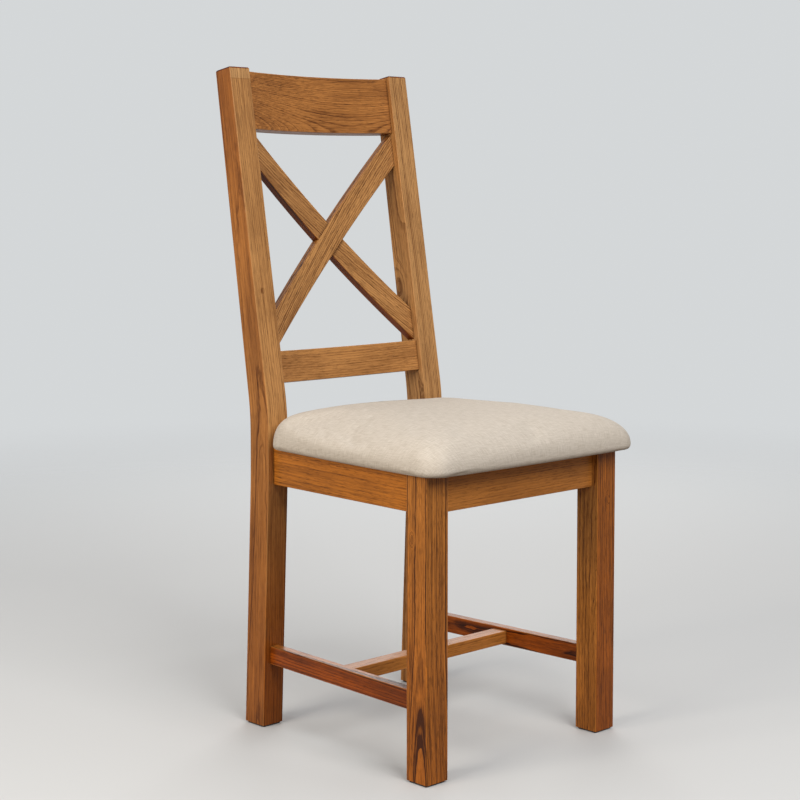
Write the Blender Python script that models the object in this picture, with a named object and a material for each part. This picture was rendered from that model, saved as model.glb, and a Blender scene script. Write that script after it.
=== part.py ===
"""Cross-back dining chair: an oak frame with a bowed X back, an H of stretchers and an upholstered seat pad.

Metres, +Z up. The chair faces -Y and its sitter's left is +X. The pieces are drawn with Y = 0 on the front
faces of the front legs, and an empty then carries them so that the origin lies on the floor under the
middle of the chair's box.
"""

import math

import bmesh
import bpy
import numpy as np

# Overall frame
CHAIR_HEIGHT = 1.050
FRONT_WIDTH = 0.416
REAR_WIDTH = 0.385
FRAME_DEPTH = 0.370
SEAT_FRAME_HEIGHT = 0.450

# Front legs and rear posts
LEG_WIDTH = 0.043
LEG_DEPTH = 0.042
POST_WIDTH = 0.040
POST_DEPTH = 0.045
POST_TOP_DEPTH = 0.0365
SPLAY = 0.017
SPLAY_START = 0.400
KNEE_HEIGHT = 0.505
KNEE_RADIUS = 0.35
RAKE = math.radians(9.5)

# Aprons under the seat
RAIL_SETBACK = 0.010
APRON_HEIGHT = 0.058
APRON_THICKNESS = 0.022
REAR_APRON_SETBACK = 0.003

# Stretchers near the floor
STRETCHER_LOW = 0.1025
STRETCHER_HEIGHT = 0.029
STRETCHER_THICKNESS = 0.017
CROSS_STRETCHER_FRONT = 0.200
CROSS_STRETCHER_HEIGHT = 0.021
CROSS_STRETCHER_DEPTH = 0.027

# Back, measured along the rake from the knee
BACK_RAIL_SETBACK = 0.007
BACK_RAIL_THICKNESS = 0.024
BACK_BOW = 0.013
TOP_RAIL_HEIGHT = 0.0935
TOP_RAIL_DROP = 0.005
LOWER_RAIL_START = 0.0465
LOWER_RAIL_HEIGHT = 0.0505
BRACE_WIDTH = 0.038
BRACE_THICKNESS = 0.016
BRACE_CORNER_GAP = 0.0025
LAP_OVERRUN = 0.006
LAP_EASE = 0.0002

# Joints
CLEARANCE = 0.0003
TENON_LENGTH = 0.015
APRON_TENON_THICKNESS = 0.009
STRETCHER_TENON_THICKNESS = 0.008
BACK_TENON_THICKNESS = 0.010
BRACE_TENON_LENGTH = 0.008
BRACE_TENON_THICKNESS = 0.007
CROSS_TENON_LENGTH = 0.009
TENON_SHOULDER = 0.006
TENON_WALL = 0.002

# Corner blocks and screws
BLOCK_HEIGHT = 0.040
BLOCK_FACE = 0.040
BLOCK_LEG_GAP = 0.002
SCREW_RADIUS = 0.002
SCREW_HEAD_RADIUS = 0.004
SCREW_HEAD_HEIGHT = 0.0025
SCREW_CROWN_RADIUS = 0.0028
SCREW_TIP_RADIUS = 0.0006
SCREW_POINT = 0.004
BLOCK_SCREW_PLACE = 0.022
BLOCK_SCREW_GRIP = 0.009
BLOCK_SCREW_BITE = 0.013
SEAT_SCREW_SINK = 0.012
SEAT_SCREW_BITE = 0.007

# Seat pad
PAD_FRONT_OVERHANG = 0.034
PAD_FRONT_SIDE_OVERHANG = 0.022
PAD_REAR_SIDE_OVERHANG = 0.005
PAD_CORNER_RADIUS = 0.036
PAD_EDGE_BOW = 0.003
PAD_TUCK = 0.0165
PAD_CROWN = 0.057
PAD_FRONT_CORNER_FALL = 0.015
PAD_REAR_CORNER_RISE = 0.010
PAD_DOME_POWER = 5.0
PAD_EDGE_POWER = 2.1
SEAT_BOARD_THICKNESS = 0.010
COVER_THICKNESS = 0.0015
COVER_TURN_UNDER = 0.030
DUST_COVER_THICKNESS = 0.0008
DUST_COVER_GAP = 0.001

# Feet
GLIDE_THICKNESS = 0.0025
GLIDE_INSET = 0.0025
GLIDE_PIN_RADIUS = 0.0015
GLIDE_PIN_LENGTH = 0.014

# Edges and how finely curves are cut
EASE = 0.0025
TENON_EASE = 0.001
EASE_STEPS = 2
KNEE_STEPS = 5
BACK_STEPS = 14
PAD_CORNER_STEPS = 4
PAD_SIDE_POINTS = 5
PAD_TUCK_STEPS = 3
PAD_DOME_SHARES = (1.0, 0.992, 0.972, 0.94, 0.89, 0.82, 0.72, 0.58, 0.40, 0.18)
SMOOTH_ANGLE = math.radians(40)

# Heights, faces and lines that follow from the sizes above
FOOT = GLIDE_THICKNESS + CLEARANCE
APRON_LOW = SEAT_FRAME_HEIGHT - APRON_HEIGHT
LEG_INNER = FRONT_WIDTH / 2 - LEG_WIDTH
POST_INNER = REAR_WIDTH / 2 - POST_WIDTH
RAIL_REACH = POST_INNER - CLEARANCE
POST_LENGTH = (CHAIR_HEIGHT - KNEE_HEIGHT) / math.cos(RAKE)
TOP_RAIL_HIGH = POST_LENGTH - TOP_RAIL_DROP
TOP_RAIL_LOW = TOP_RAIL_HIGH - TOP_RAIL_HEIGHT
LOWER_RAIL_HIGH = LOWER_RAIL_START + LOWER_RAIL_HEIGHT
BRACE_SETBACK = BACK_RAIL_SETBACK + (BACK_RAIL_THICKNESS - BRACE_THICKNESS) / 2
BRACE_MIDDLE = (LOWER_RAIL_HIGH + TOP_RAIL_LOW) / 2
SIDE_SHOULDER_FRONT = LEG_DEPTH + CLEARANCE
SIDE_SHOULDER_REAR = FRAME_DEPTH - CLEARANCE
PAD_LOW = SEAT_FRAME_HEIGHT + CLEARANCE
BOARD_LOW = PAD_LOW + COVER_THICKNESS + CLEARANCE
BOARD_HIGH = BOARD_LOW + SEAT_BOARD_THICKNESS
PAD_WIDEST = BOARD_HIGH + CLEARANCE
PAD_FRONT = -PAD_FRONT_OVERHANG
PAD_REAR = FRAME_DEPTH - CLEARANCE
PAD_FRONT_HALF = FRONT_WIDTH / 2 + PAD_FRONT_SIDE_OVERHANG
PAD_REAR_HALF = REAR_WIDTH / 2 + PAD_REAR_SIDE_OVERHANG

SIDES = {"right": -1, "left": 1}

OAK = ("oak", (0.42, 0.21, 0.075), 0.45, 0.0)
BEECH = ("beech", (0.55, 0.36, 0.20), 0.6, 0.0)
PLYWOOD = ("plywood", (0.52, 0.37, 0.21), 0.65, 0.0)
LINEN = ("linen", (0.66, 0.58, 0.48), 0.9, 0.0)
FOAM = ("foam", (0.80, 0.74, 0.55), 0.95, 0.0)
DUST_CLOTH = ("dust_cloth", (0.02, 0.02, 0.02), 0.95, 0.0)
STEEL = ("steel", (0.60, 0.58, 0.52), 0.35, 1.0)
BLACK_PLASTIC = ("black_plastic", (0.01, 0.01, 0.01), 0.5, 0.0)


def material(finish):
    """The Principled material of this finish, made the first time that it is asked for."""
    name, colour, roughness, metallic = finish
    made = bpy.data.materials.get(name)
    if made is None:
        made = bpy.data.materials.new(name)
        made.use_nodes = True
        shader = made.node_tree.nodes["Principled BSDF"]
        shader.inputs["Base Color"].default_value = (*colour, 1.0)
        shader.inputs["Roughness"].default_value = roughness
        shader.inputs["Metallic"].default_value = metallic
        made.diffuse_color = (*colour, 1.0)
    return made


def shade(mesh):
    """Smooth shading with the real edges kept sharp."""
    mesh.shade_smooth()
    mesh.set_sharp_from_angle(angle=SMOOTH_ANGLE)


def loft(name, rings, finish):
    """A closed solid through rings of equally many points, with a face over its first and last ring."""
    mesh_builder = bmesh.new()
    rows = [[mesh_builder.verts.new(point) for point in ring] for ring in rings]
    count = len(rows[0])
    for low, high in zip(rows, rows[1:]):
        for i in range(count):
            j = (i + 1) % count
            mesh_builder.faces.new((low[i], low[j], high[j], high[i]))
    mesh_builder.faces.new(rows[0])
    mesh_builder.faces.new(rows[-1])
    bmesh.ops.recalc_face_normals(mesh_builder, faces=mesh_builder.faces)
    mesh = bpy.data.meshes.new(name)
    mesh_builder.to_mesh(mesh)
    mesh_builder.free()
    mesh.materials.append(material(finish))
    shade(mesh)
    piece = bpy.data.objects.new(name, mesh)
    bpy.context.scene.collection.objects.link(piece)
    return piece


def cut(piece, cutters):
    """Takes the cutters out of the piece with exact Booleans, then removes them."""
    for cutter in cutters:
        cutter.hide_render = True
        cutter.display_type = "WIRE"
        modifier = piece.modifiers.new(cutter.name, "BOOLEAN")
        modifier.operation = "DIFFERENCE"
        modifier.solver = "EXACT"
        modifier.object = cutter
    bpy.context.view_layer.update()
    evaluated = piece.evaluated_get(bpy.context.evaluated_depsgraph_get())
    mesh = bpy.data.meshes.new_from_object(evaluated)
    old = piece.data
    piece.modifiers.clear()
    piece.data = mesh
    mesh.name = piece.name
    bpy.data.meshes.remove(old)
    shade(mesh)
    for cutter in cutters:
        shape = cutter.data
        bpy.data.objects.remove(cutter)
        bpy.data.meshes.remove(shape)
    return piece


def rounded_section(half_u, half_v, radius):
    """(u, v) points round a rectangle with rounded corners. No two of the points meet."""
    radius = min(radius, 0.8 * half_u, 0.8 * half_v)
    points = []
    for turn, (sign_u, sign_v) in enumerate(((1, 1), (-1, 1), (-1, -1), (1, -1))):
        for step in range(EASE_STEPS + 1):
            angle = (turn + step / EASE_STEPS) * math.pi / 2
            u = sign_u * (half_u - radius) + radius * math.cos(angle)
            v = sign_v * (half_v - radius) + radius * math.sin(angle)
            points.append((u, v))
    return points


def ring(centre, axis_u, half_u, axis_v, half_v, radius=EASE):
    """A rounded rectangle in space, about a centre and along two directions."""
    centre, axis_u, axis_v = (np.array(value, float) for value in (centre, axis_u, axis_v))
    return [centre + u * axis_u + v * axis_v for u, v in rounded_section(half_u, half_v, radius)]


def moved(points, offset):
    """The same points, shifted."""
    return [np.array(point) + np.array(offset, float) for point in points]


def cylinder_rings(centre, axis, profile):
    """Rings about an axis through the centre, for (radius, distance) pairs, with a section's point count."""
    axis = np.array(axis, float) / np.linalg.norm(axis)
    side = np.cross(axis, (0.3, 0.5, 0.8))
    side /= np.linalg.norm(side)
    other = np.cross(axis, side)
    count = 4 * (EASE_STEPS + 1)
    turns = [2 * math.pi * i / count for i in range(count)]
    rings = []
    for radius, distance in profile:
        middle = np.array(centre, float) + distance * axis
        rings.append([middle + radius * (math.cos(t) * side + math.sin(t) * other) for t in turns])
    return rings


def tenon_and_mortise(root, direction, length):
    """A tenon's rings from its root outwards, and the rings of the slot cut for it.

    root is a function of how much the section grows, so that the slot and the tenon share one section.
    """
    direction = np.array(direction, float)
    tenon = [root(0.0), moved(root(0.0), direction * length)]
    slot_start = moved(root(CLEARANCE), direction * -2 * CLEARANCE)
    slot_end = moved(root(CLEARANCE), direction * (length + CLEARANCE))
    return tenon, [slot_start, slot_end]


def bar(name, body, tenon_start, tenon_end):
    """A rail with a tenon at each end: both tenons and the body are one loft."""
    return loft(name, tenon_start[::-1] + body + tenon_end, OAK)


mortises = {}


def add_mortise(host, rings):
    """Notes a slot to be cut from the piece called host."""
    mortises.setdefault(host, []).append(rings)


def cut_mortises():
    """Cuts every noted slot from its piece."""
    for host, slots in mortises.items():
        cutters = [loft(f"slot_{i}", rings, OAK) for i, rings in enumerate(slots)]
        cut(bpy.data.objects[host], cutters)


def fillet(before, corner, after, radius, steps):
    """Points along an arc of this radius that rounds the corner between two straight lines."""
    before, corner, after = (np.array(point, float) for point in (before, corner, after))
    to_before = (before - corner) / np.linalg.norm(before - corner)
    to_after = (after - corner) / np.linalg.norm(after - corner)
    half_angle = math.acos(np.clip(to_before @ to_after, -1.0, 1.0)) / 2
    reach = radius / math.tan(half_angle)
    bisector = (to_before + to_after) / np.linalg.norm(to_before + to_after)
    centre = corner + bisector * radius / math.sin(half_angle)
    start = corner + to_before * reach - centre
    end = corner + to_after * reach - centre
    spread = math.pi - 2 * half_angle
    points = []
    for share in np.linspace(0, 1, steps + 1):
        mixed = math.sin((1 - share) * spread) * start + math.sin(share * spread) * end
        points.append(centre + mixed / math.sin(spread))
    return points


def post_lines():
    """Paired (y, z) points up the front and back of a rear post: splay, straight stretch, knee and rake."""
    splay_tilt = math.atan2(SPLAY, SPLAY_START)
    across = (math.cos(RAKE), -math.sin(RAKE))
    foot_share = 1 - FOOT / SPLAY_START
    foot = FRAME_DEPTH + SPLAY * foot_share
    top = (FRAME_DEPTH + POST_LENGTH * math.sin(RAKE), CHAIR_HEIGHT)
    back = FRAME_DEPTH + POST_DEPTH
    back_top = (top[0] + POST_TOP_DEPTH * across[0], top[1] + POST_TOP_DEPTH * across[1])
    front_points = [(foot, FOOT), (FRAME_DEPTH, SPLAY_START), (FRAME_DEPTH, KNEE_HEIGHT), top]
    back_splay = SPLAY_START + POST_DEPTH * math.tan(splay_tilt / 2)
    back_knee = KNEE_HEIGHT - POST_DEPTH * math.tan(RAKE / 2)
    back_points = [(foot + POST_DEPTH, FOOT), (back, back_splay), (back, back_knee), back_top]
    lines = []
    for points in (front_points, back_points):
        low, splay, knee, high = points
        splay_bend = fillet(low, splay, knee, KNEE_RADIUS, KNEE_STEPS)
        knee_bend = fillet(splay, knee, high, KNEE_RADIUS, KNEE_STEPS)
        lines.append([low] + splay_bend + knee_bend + [high])
    return lines


def rear_post(side_name):
    """One rear post, eased along its length and rounded over at its top."""
    middle = SIDES[side_name] * (REAR_WIDTH - POST_WIDTH) / 2
    rings = []
    for front, back in zip(*post_lines()):
        across = np.array([0.0, back[0] - front[0], back[1] - front[1]])
        depth = np.linalg.norm(across)
        centre = (middle, (front[0] + back[0]) / 2, (front[1] + back[1]) / 2)
        rings.append((centre, across / depth, depth / 2))
    up = np.array([0.0, math.sin(RAKE), math.cos(RAKE)])
    body = [ring(c, (1, 0, 0), POST_WIDTH / 2, across, half) for c, across, half in rings[:-1]]
    centre, across, half = rings[-1]
    for step in range(EASE_STEPS + 1):
        angle = step / EASE_STEPS * math.pi / 2
        shrink = EASE * (1 - math.cos(angle))
        lowered = np.array(centre) - up * EASE * (1 - math.sin(angle))
        body.append(ring(lowered, (1, 0, 0), POST_WIDTH / 2 - shrink, across, half - shrink))
    return loft(f"rear_post_{side_name}", body, OAK)


def front_leg(side_name):
    """One square front leg."""
    centre = (SIDES[side_name] * (FRONT_WIDTH - LEG_WIDTH) / 2, LEG_DEPTH / 2)
    rings = []
    for height in (FOOT, SEAT_FRAME_HEIGHT):
        rings.append(ring((*centre, height), (1, 0, 0), LEG_WIDTH / 2, (0, 1, 0), LEG_DEPTH / 2))
    return loft(f"front_leg_{side_name}", rings, OAK)


def side_rail_x(y, depth_in):
    """Half the chair's width at y, on a line this far in from the legs' outer faces."""
    share = (y - LEG_DEPTH) / (FRAME_DEPTH - LEG_DEPTH)
    return FRONT_WIDTH / 2 + share * (REAR_WIDTH - FRONT_WIDTH) / 2 - depth_in


def side_rail(kind, side_name, low, height, thickness, tenon_thickness):
    """A rail from front leg to rear post, following the frame's taper, with a straight tenon at each end."""
    side = SIDES[side_name]
    middle_z = low + height / 2
    centre_in = RAIL_SETBACK + thickness / 2
    body = []
    tenons = []
    is_splayed = low + height < SPLAY_START
    rear_lean = SPLAY / SPLAY_START if is_splayed else 0.0
    rear_y = SIDE_SHOULDER_REAR + rear_lean * (SPLAY_START - middle_z)
    ends = (
        (f"front_leg_{side_name}", SIDE_SHOULDER_FRONT, 0.0, -1),
        (f"rear_post_{side_name}", rear_y, rear_lean, 1),
    )
    for host, y, lean, direction in ends:
        centre = np.array((side * side_rail_x(y, centre_in), y, middle_z))
        upright = (0, -lean, 1)
        body.append(ring(centre, (1, 0, 0), thickness / 2, upright, height / 2))

        def root(grow, centre=centre, upright=upright):
            half_height = height / 2 - TENON_SHOULDER + grow
            return ring(centre, (1, 0, 0), tenon_thickness / 2 + grow, upright, half_height, TENON_EASE)

        tenon, slot = tenon_and_mortise(root, (0, direction, 0), TENON_LENGTH)
        tenons.append(tenon)
        add_mortise(host, slot)
    return bar(f"{kind}_{side_name}", body, tenons[0], tenons[1])


def end_rail(name, hosts, reach, y, depth, low, height, tenon):
    """A straight rail across the chair, with a tenon (thickness, shoulder, length) at each end."""
    tenon_thickness, shoulder, length = tenon
    middle = (y + depth / 2, low + height / 2)
    body = []
    tenons = []
    for side, host in zip((-1, 1), hosts):
        centre = (side * (reach - CLEARANCE), *middle)
        body.append(ring(centre, (0, 1, 0), depth / 2, (0, 0, 1), height / 2))

        def root(grow, centre=centre):
            half_height = height / 2 - shoulder + grow
            return ring(centre, (0, 1, 0), tenon_thickness / 2 + grow, (0, 0, 1), half_height, TENON_EASE)

        made, slot = tenon_and_mortise(root, (side, 0, 0), length)
        tenons.append(made)
        add_mortise(host, slot)
    return bar(name, body, tenons[0], tenons[1])


def apron_tenon_length(y, inner):
    """How far an end apron's tenon goes in before it would meet the side apron's tenon."""
    side_tenon_in = RAIL_SETBACK + APRON_THICKNESS / 2 + APRON_TENON_THICKNESS / 2
    return side_rail_x(y, side_tenon_in) - TENON_WALL - inner


def aprons():
    """Four rails under the seat. The side ones taper in plan with the frame."""
    for side_name in SIDES:
        side_rail("side_apron", side_name, APRON_LOW, APRON_HEIGHT, APRON_THICKNESS, APRON_TENON_THICKNESS)
    rear_y = FRAME_DEPTH + REAR_APRON_SETBACK
    for name, prefix, inner, y, joint_y in (
        ("front_apron", "front_leg", LEG_INNER, RAIL_SETBACK, LEG_DEPTH),
        ("rear_apron", "rear_post", POST_INNER, rear_y, FRAME_DEPTH),
    ):
        tenon = (APRON_TENON_THICKNESS, TENON_SHOULDER, apron_tenon_length(joint_y, inner))
        hosts = [f"{prefix}_{side_name}" for side_name in SIDES]
        end_rail(name, hosts, inner, y, APRON_THICKNESS, APRON_LOW, APRON_HEIGHT, tenon)


def stretchers():
    """Two side stretchers and the cross stretcher between their inner faces."""
    for side_name in SIDES:
        thickness, tenon_thickness = STRETCHER_THICKNESS, STRETCHER_TENON_THICKNESS
        side_rail("side_stretcher", side_name, STRETCHER_LOW, STRETCHER_HEIGHT, thickness, tenon_thickness)
    middle_y = CROSS_STRETCHER_FRONT + CROSS_STRETCHER_DEPTH / 2
    reach = side_rail_x(middle_y + CROSS_STRETCHER_DEPTH / 2, RAIL_SETBACK + STRETCHER_THICKNESS)
    low = STRETCHER_LOW + (STRETCHER_HEIGHT - CROSS_STRETCHER_HEIGHT) / 2
    tenon_depth = CROSS_STRETCHER_DEPTH - 2 * TENON_SHOULDER
    hosts = [f"side_stretcher_{side_name}" for side_name in SIDES]
    end_rail(
        "cross_stretcher",
        hosts,
        reach,
        CROSS_STRETCHER_FRONT,
        CROSS_STRETCHER_DEPTH,
        low,
        CROSS_STRETCHER_HEIGHT,
        (tenon_depth, TENON_SHOULDER, CROSS_TENON_LENGTH),
    )


def back_point(x, up, depth):
    """A point of the back: up the rake from the knee, and behind the posts' front plane."""
    y = FRAME_DEPTH + up * math.sin(RAKE) + depth * math.cos(RAKE)
    z = KNEE_HEIGHT + up * math.cos(RAKE) - depth * math.sin(RAKE)
    return np.array((x, y, z))


def bow(x):
    """How far the back's curve lies behind its ends: a parabola across the gap between the posts."""
    return BACK_BOW * (1 - (x / POST_INNER) ** 2)


def stations(reach):
    """Even steps in x across the back, from one end to the other."""
    return np.linspace(-reach, reach, BACK_STEPS + 1)


def back_rail(name, low, high):
    """A back rail, bowed in plan, with a tenon into each post."""
    middle = (low + high) / 2
    body = []
    for x in stations(RAIL_REACH):
        section = rounded_section(BACK_RAIL_THICKNESS / 2, (high - low) / 2, EASE)
        centre = BACK_RAIL_SETBACK + BACK_RAIL_THICKNESS / 2 + bow(x)
        body.append([back_point(x, middle + v, centre + u) for u, v in section])
    tenons = []
    for side_name, side in SIDES.items():

        def root(grow, x=side * RAIL_REACH):
            half_height = (high - low) / 2 - TENON_SHOULDER + grow
            section = rounded_section(BACK_TENON_THICKNESS / 2 + grow, half_height, TENON_EASE)
            centre = BACK_RAIL_SETBACK + BACK_RAIL_THICKNESS / 2 + bow(x)
            return [back_point(x, middle + v, centre + u) for u, v in section]

        tenon, slot = tenon_and_mortise(root, (side, 0, 0), TENON_LENGTH)
        tenons.append(tenon)
        add_mortise(f"rear_post_{side_name}", slot)
    return bar(name, body, tenons[0], tenons[1])


def brace_angle():
    """The slope at which a brace's outer edge ends just inside the corner of rail and post."""
    rise = (TOP_RAIL_LOW - LOWER_RAIL_HIGH) / 2 - BRACE_CORNER_GAP
    half = BRACE_WIDTH / 2
    # The edge's height at the post, reach * tan + half / cos, equals the rise.
    diagonal = math.hypot(RAIL_REACH, rise)
    return math.asin(rise / diagonal) - math.asin(half / diagonal)


def brace_section(x, angle, half_width, depth_low, depth_high, radius):
    """Points round a brace's upright section at x, between two depths behind the braces' front face."""
    half_depth = (depth_high - depth_low) / 2
    points = []
    for across, deep in rounded_section(half_width, half_depth, radius):
        height = BRACE_MIDDLE + x * math.tan(angle) + across / math.cos(angle)
        depth = BRACE_SETBACK + bow(x) + depth_low + half_depth + deep
        points.append(back_point(x, height, depth))
    return points


def brace_lap(angle, depth_low, depth_high):
    """Rings of the space that the other brace takes at the crossing, over the given depths."""
    half_width = BRACE_WIDTH / 2 + CLEARANCE
    reach = half_width / abs(math.sin(angle)) + LAP_OVERRUN
    return [brace_section(x, angle, half_width, depth_low, depth_high, LAP_EASE) for x in stations(reach)]


def cross_braces():
    """Two braces on the back's bow, half-lapped at their crossing so that their faces lie flush."""
    angle = brace_angle()
    half_lap = BRACE_THICKNESS / 2
    past = BRACE_THICKNESS
    for name, sign, lap in (
        ("cross_brace_front", 1, (half_lap - CLEARANCE / 2, BRACE_THICKNESS + past)),
        ("cross_brace_back", -1, (-past, half_lap + CLEARANCE / 2)),
    ):
        slope = sign * angle
        half_width = BRACE_WIDTH / 2
        body = [brace_section(x, slope, half_width, 0.0, BRACE_THICKNESS, EASE) for x in stations(RAIL_REACH)]
        tenons = []
        for side_name, side in SIDES.items():

            def root(grow, x=side * RAIL_REACH, slope=slope):
                low = (BRACE_THICKNESS - BRACE_TENON_THICKNESS) / 2 - grow
                high = BRACE_THICKNESS - low
                return brace_section(x, slope, BRACE_WIDTH / 2 - TENON_SHOULDER + grow, low, high, TENON_EASE)

            tenon, slot = tenon_and_mortise(root, (side, 0, 0), BRACE_TENON_LENGTH)
            tenons.append(tenon)
            add_mortise(f"rear_post_{side_name}", slot)
        brace = bar(name, body, tenons[0], tenons[1])
        cut(brace, [loft("lap", brace_lap(-slope, *lap), OAK)])


def glides():
    """A thin plastic glide under each foot, with the pin that holds it in the wood."""
    rear_x = (REAR_WIDTH - POST_WIDTH) / 2
    rear_y = FRAME_DEPTH + SPLAY * (1 - FOOT / SPLAY_START) + POST_DEPTH / 2
    feet = {
        "front": ((FRONT_WIDTH - LEG_WIDTH) / 2, LEG_DEPTH / 2, LEG_WIDTH, LEG_DEPTH, "front_leg"),
        "rear": (rear_x, rear_y, POST_WIDTH, POST_DEPTH, "rear_post"),
    }
    for end, (x, y, width, depth, prefix) in feet.items():
        for side_name, side in SIDES.items():
            centre = np.array((side * x, y, 0.0))
            half_width = width / 2 - GLIDE_INSET
            half_depth = depth / 2 - GLIDE_INSET
            rings = []
            for z in (0.0, GLIDE_THICKNESS):
                level = centre + np.array((0, 0, z))
                rings.append(ring(level, (1, 0, 0), half_width, (0, 1, 0), half_depth, EASE))
            tip = FOOT + GLIDE_PIN_LENGTH
            for z in (GLIDE_THICKNESS, tip):
                level = centre + np.array((0, 0, z))
                pin = GLIDE_PIN_RADIUS
                rings.append(ring(level, (1, 0, 0), pin, (0, 1, 0), pin, pin))
            loft(f"glide_{end}_{side_name}", rings, BLACK_PLASTIC)
            hole = GLIDE_PIN_RADIUS + CLEARANCE
            slot = []
            for z in (GLIDE_THICKNESS, tip + CLEARANCE):
                level = centre + np.array((0, 0, z))
                slot.append(ring(level, (1, 0, 0), hole, (0, 1, 0), hole, hole))
            add_mortise(f"{prefix}_{side_name}", slot)


def screw(name, seat, axis, grip_and_bite):
    """A round-headed screw: its head sits at seat, and its shank runs along axis to a blunt point."""
    profile = [
        (SCREW_CROWN_RADIUS, -SCREW_HEAD_HEIGHT),
        (SCREW_HEAD_RADIUS, -SCREW_HEAD_HEIGHT / 2),
        (SCREW_HEAD_RADIUS, 0.0),
        (SCREW_RADIUS, 0.0),
        (SCREW_RADIUS, grip_and_bite - SCREW_POINT),
        (SCREW_TIP_RADIUS, grip_and_bite),
    ]
    return loft(name, cylinder_rings(seat, axis, profile), STEEL)


def screw_hole(seat, axis, length):
    """Rings of the hole that a screw's shank needs, from its head's seat."""
    radius = SCREW_RADIUS + CLEARANCE
    return cylinder_rings(seat, axis, [(radius, -CLEARANCE), (radius, length + CLEARANCE)])


def head_recess(seat, axis, depth):
    """Rings of the pocket that a screw's head sits in, open towards the driver."""
    radius = SCREW_HEAD_RADIUS + CLEARANCE
    return cylinder_rings(seat, axis, [(radius, -depth), (radius, CLEARANCE)])


def block_corner(end):
    """Plan lines where two aprons' inner faces meet: that corner, its two directions and the leg's corner.

    Everything is given for the +X side, and the caller mirrors x.
    """
    inner_in = RAIL_SETBACK + APRON_THICKNESS + CLEARANCE
    ends = np.array([(side_rail_x(y, inner_in), y) for y in (LEG_DEPTH, FRAME_DEPTH)])
    along = (ends[1] - ends[0]) / np.linalg.norm(ends[1] - ends[0])
    if end == "front":
        y = RAIL_SETBACK + APRON_THICKNESS + CLEARANCE
        leg = np.array((LEG_INNER, LEG_DEPTH))
    else:
        y = FRAME_DEPTH + REAR_APRON_SETBACK - CLEARANCE
        leg = np.array((POST_INNER, FRAME_DEPTH))
        along = -along
    corner = np.array((side_rail_x(y, inner_in), y))
    return corner, np.array((-1.0, 0.0)), along, leg


def corner_blocks():
    """A block screwed to both aprons at each corner. A seat screw goes up through it into the seat board."""
    low = SEAT_FRAME_HEIGHT - BLOCK_HEIGHT
    middle_z = low + BLOCK_HEIGHT / 2
    for end in ("front", "rear"):
        corner, cross, along, leg = block_corner(end)
        reach = np.linalg.solve(np.column_stack((cross, along)), leg - corner)
        near = reach.sum() + BLOCK_LEG_GAP
        far = near + BLOCK_FACE
        outline = [corner + near * cross, corner + far * cross, corner + far * along, corner + near * along]
        seat_spot = corner + (near + far) / 4 * (cross + along)
        screw_spot = near + BLOCK_SCREW_PLACE
        for side_name, side in SIDES.items():
            flip = np.array((side, 1.0))
            name = f"corner_block_{end}_{side_name}"
            rings = [[(*(point * flip), z) for point in outline] for z in (low, SEAT_FRAME_HEIGHT)]
            loft(name, rings, BEECH)
            aprons_met = ((f"{end}_apron", cross, along), (f"side_apron_{side_name}", along, cross))
            for count, (apron, face, inward) in enumerate(aprons_met, 1):
                normal = np.array((-face[1], face[0]))
                normal *= -np.sign(normal @ inward)
                seat = (corner + screw_spot * face - normal * BLOCK_SCREW_GRIP) * flip
                axis = np.array((*(normal * flip), 0.0))
                seat = np.array((*seat, middle_z))
                length = BLOCK_SCREW_GRIP + BLOCK_SCREW_BITE
                screw(f"corner_screw_{end}_{side_name}_{count}", seat, axis, length)
                add_mortise(name, screw_hole(seat, axis, length))
                add_mortise(name, head_recess(seat, axis, BLOCK_FACE))
                add_mortise(apron, screw_hole(seat, axis, length))
            seat = np.array((*(seat_spot * flip), low + SEAT_SCREW_SINK))
            length = BOARD_LOW + SEAT_SCREW_BITE - seat[2]
            screw(f"seat_screw_{end}_{side_name}", seat, (0, 0, 1), length)
            add_mortise(name, screw_hole(seat, (0, 0, 1), length))
            add_mortise(name, head_recess(seat, (0, 0, 1), 2 * SEAT_SCREW_SINK))
            for layer in ("seat_board", "dust_cover", "seat_cover"):
                add_mortise(layer, screw_hole(seat, (0, 0, 1), length))


def pad_outline(inset):
    """Plan points of the pad, this far in from its edge: a tapered shape, round corners and bowed sides."""
    radius = max(PAD_CORNER_RADIUS - inset, EASE)
    front, rear = PAD_FRONT + inset, PAD_REAR - inset
    corners = [
        np.array((-PAD_FRONT_HALF + inset, front)),
        np.array((PAD_FRONT_HALF - inset, front)),
        np.array((PAD_REAR_HALF - inset, rear)),
        np.array((-PAD_REAR_HALF + inset, rear)),
    ]
    arcs = []
    for i, corner in enumerate(corners):
        arcs.append(fillet(corners[i - 1], corner, corners[(i + 1) % 4], radius, PAD_CORNER_STEPS))
    points = []
    for i, arc in enumerate(arcs):
        points += arc
        begin, finish = arc[-1], arcs[(i + 1) % 4][0]
        step = (finish - begin) / np.linalg.norm(finish - begin)
        outward = np.array((step[1], -step[0]))
        is_rear = i == 2
        swell = 0.0 if is_rear else PAD_EDGE_BOW
        for k in range(1, PAD_SIDE_POINTS + 1):
            share = k / (PAD_SIDE_POINTS + 1)
            points.append(begin + (finish - begin) * share + outward * swell * 4 * share * (1 - share))
    return np.array(points)


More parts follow.
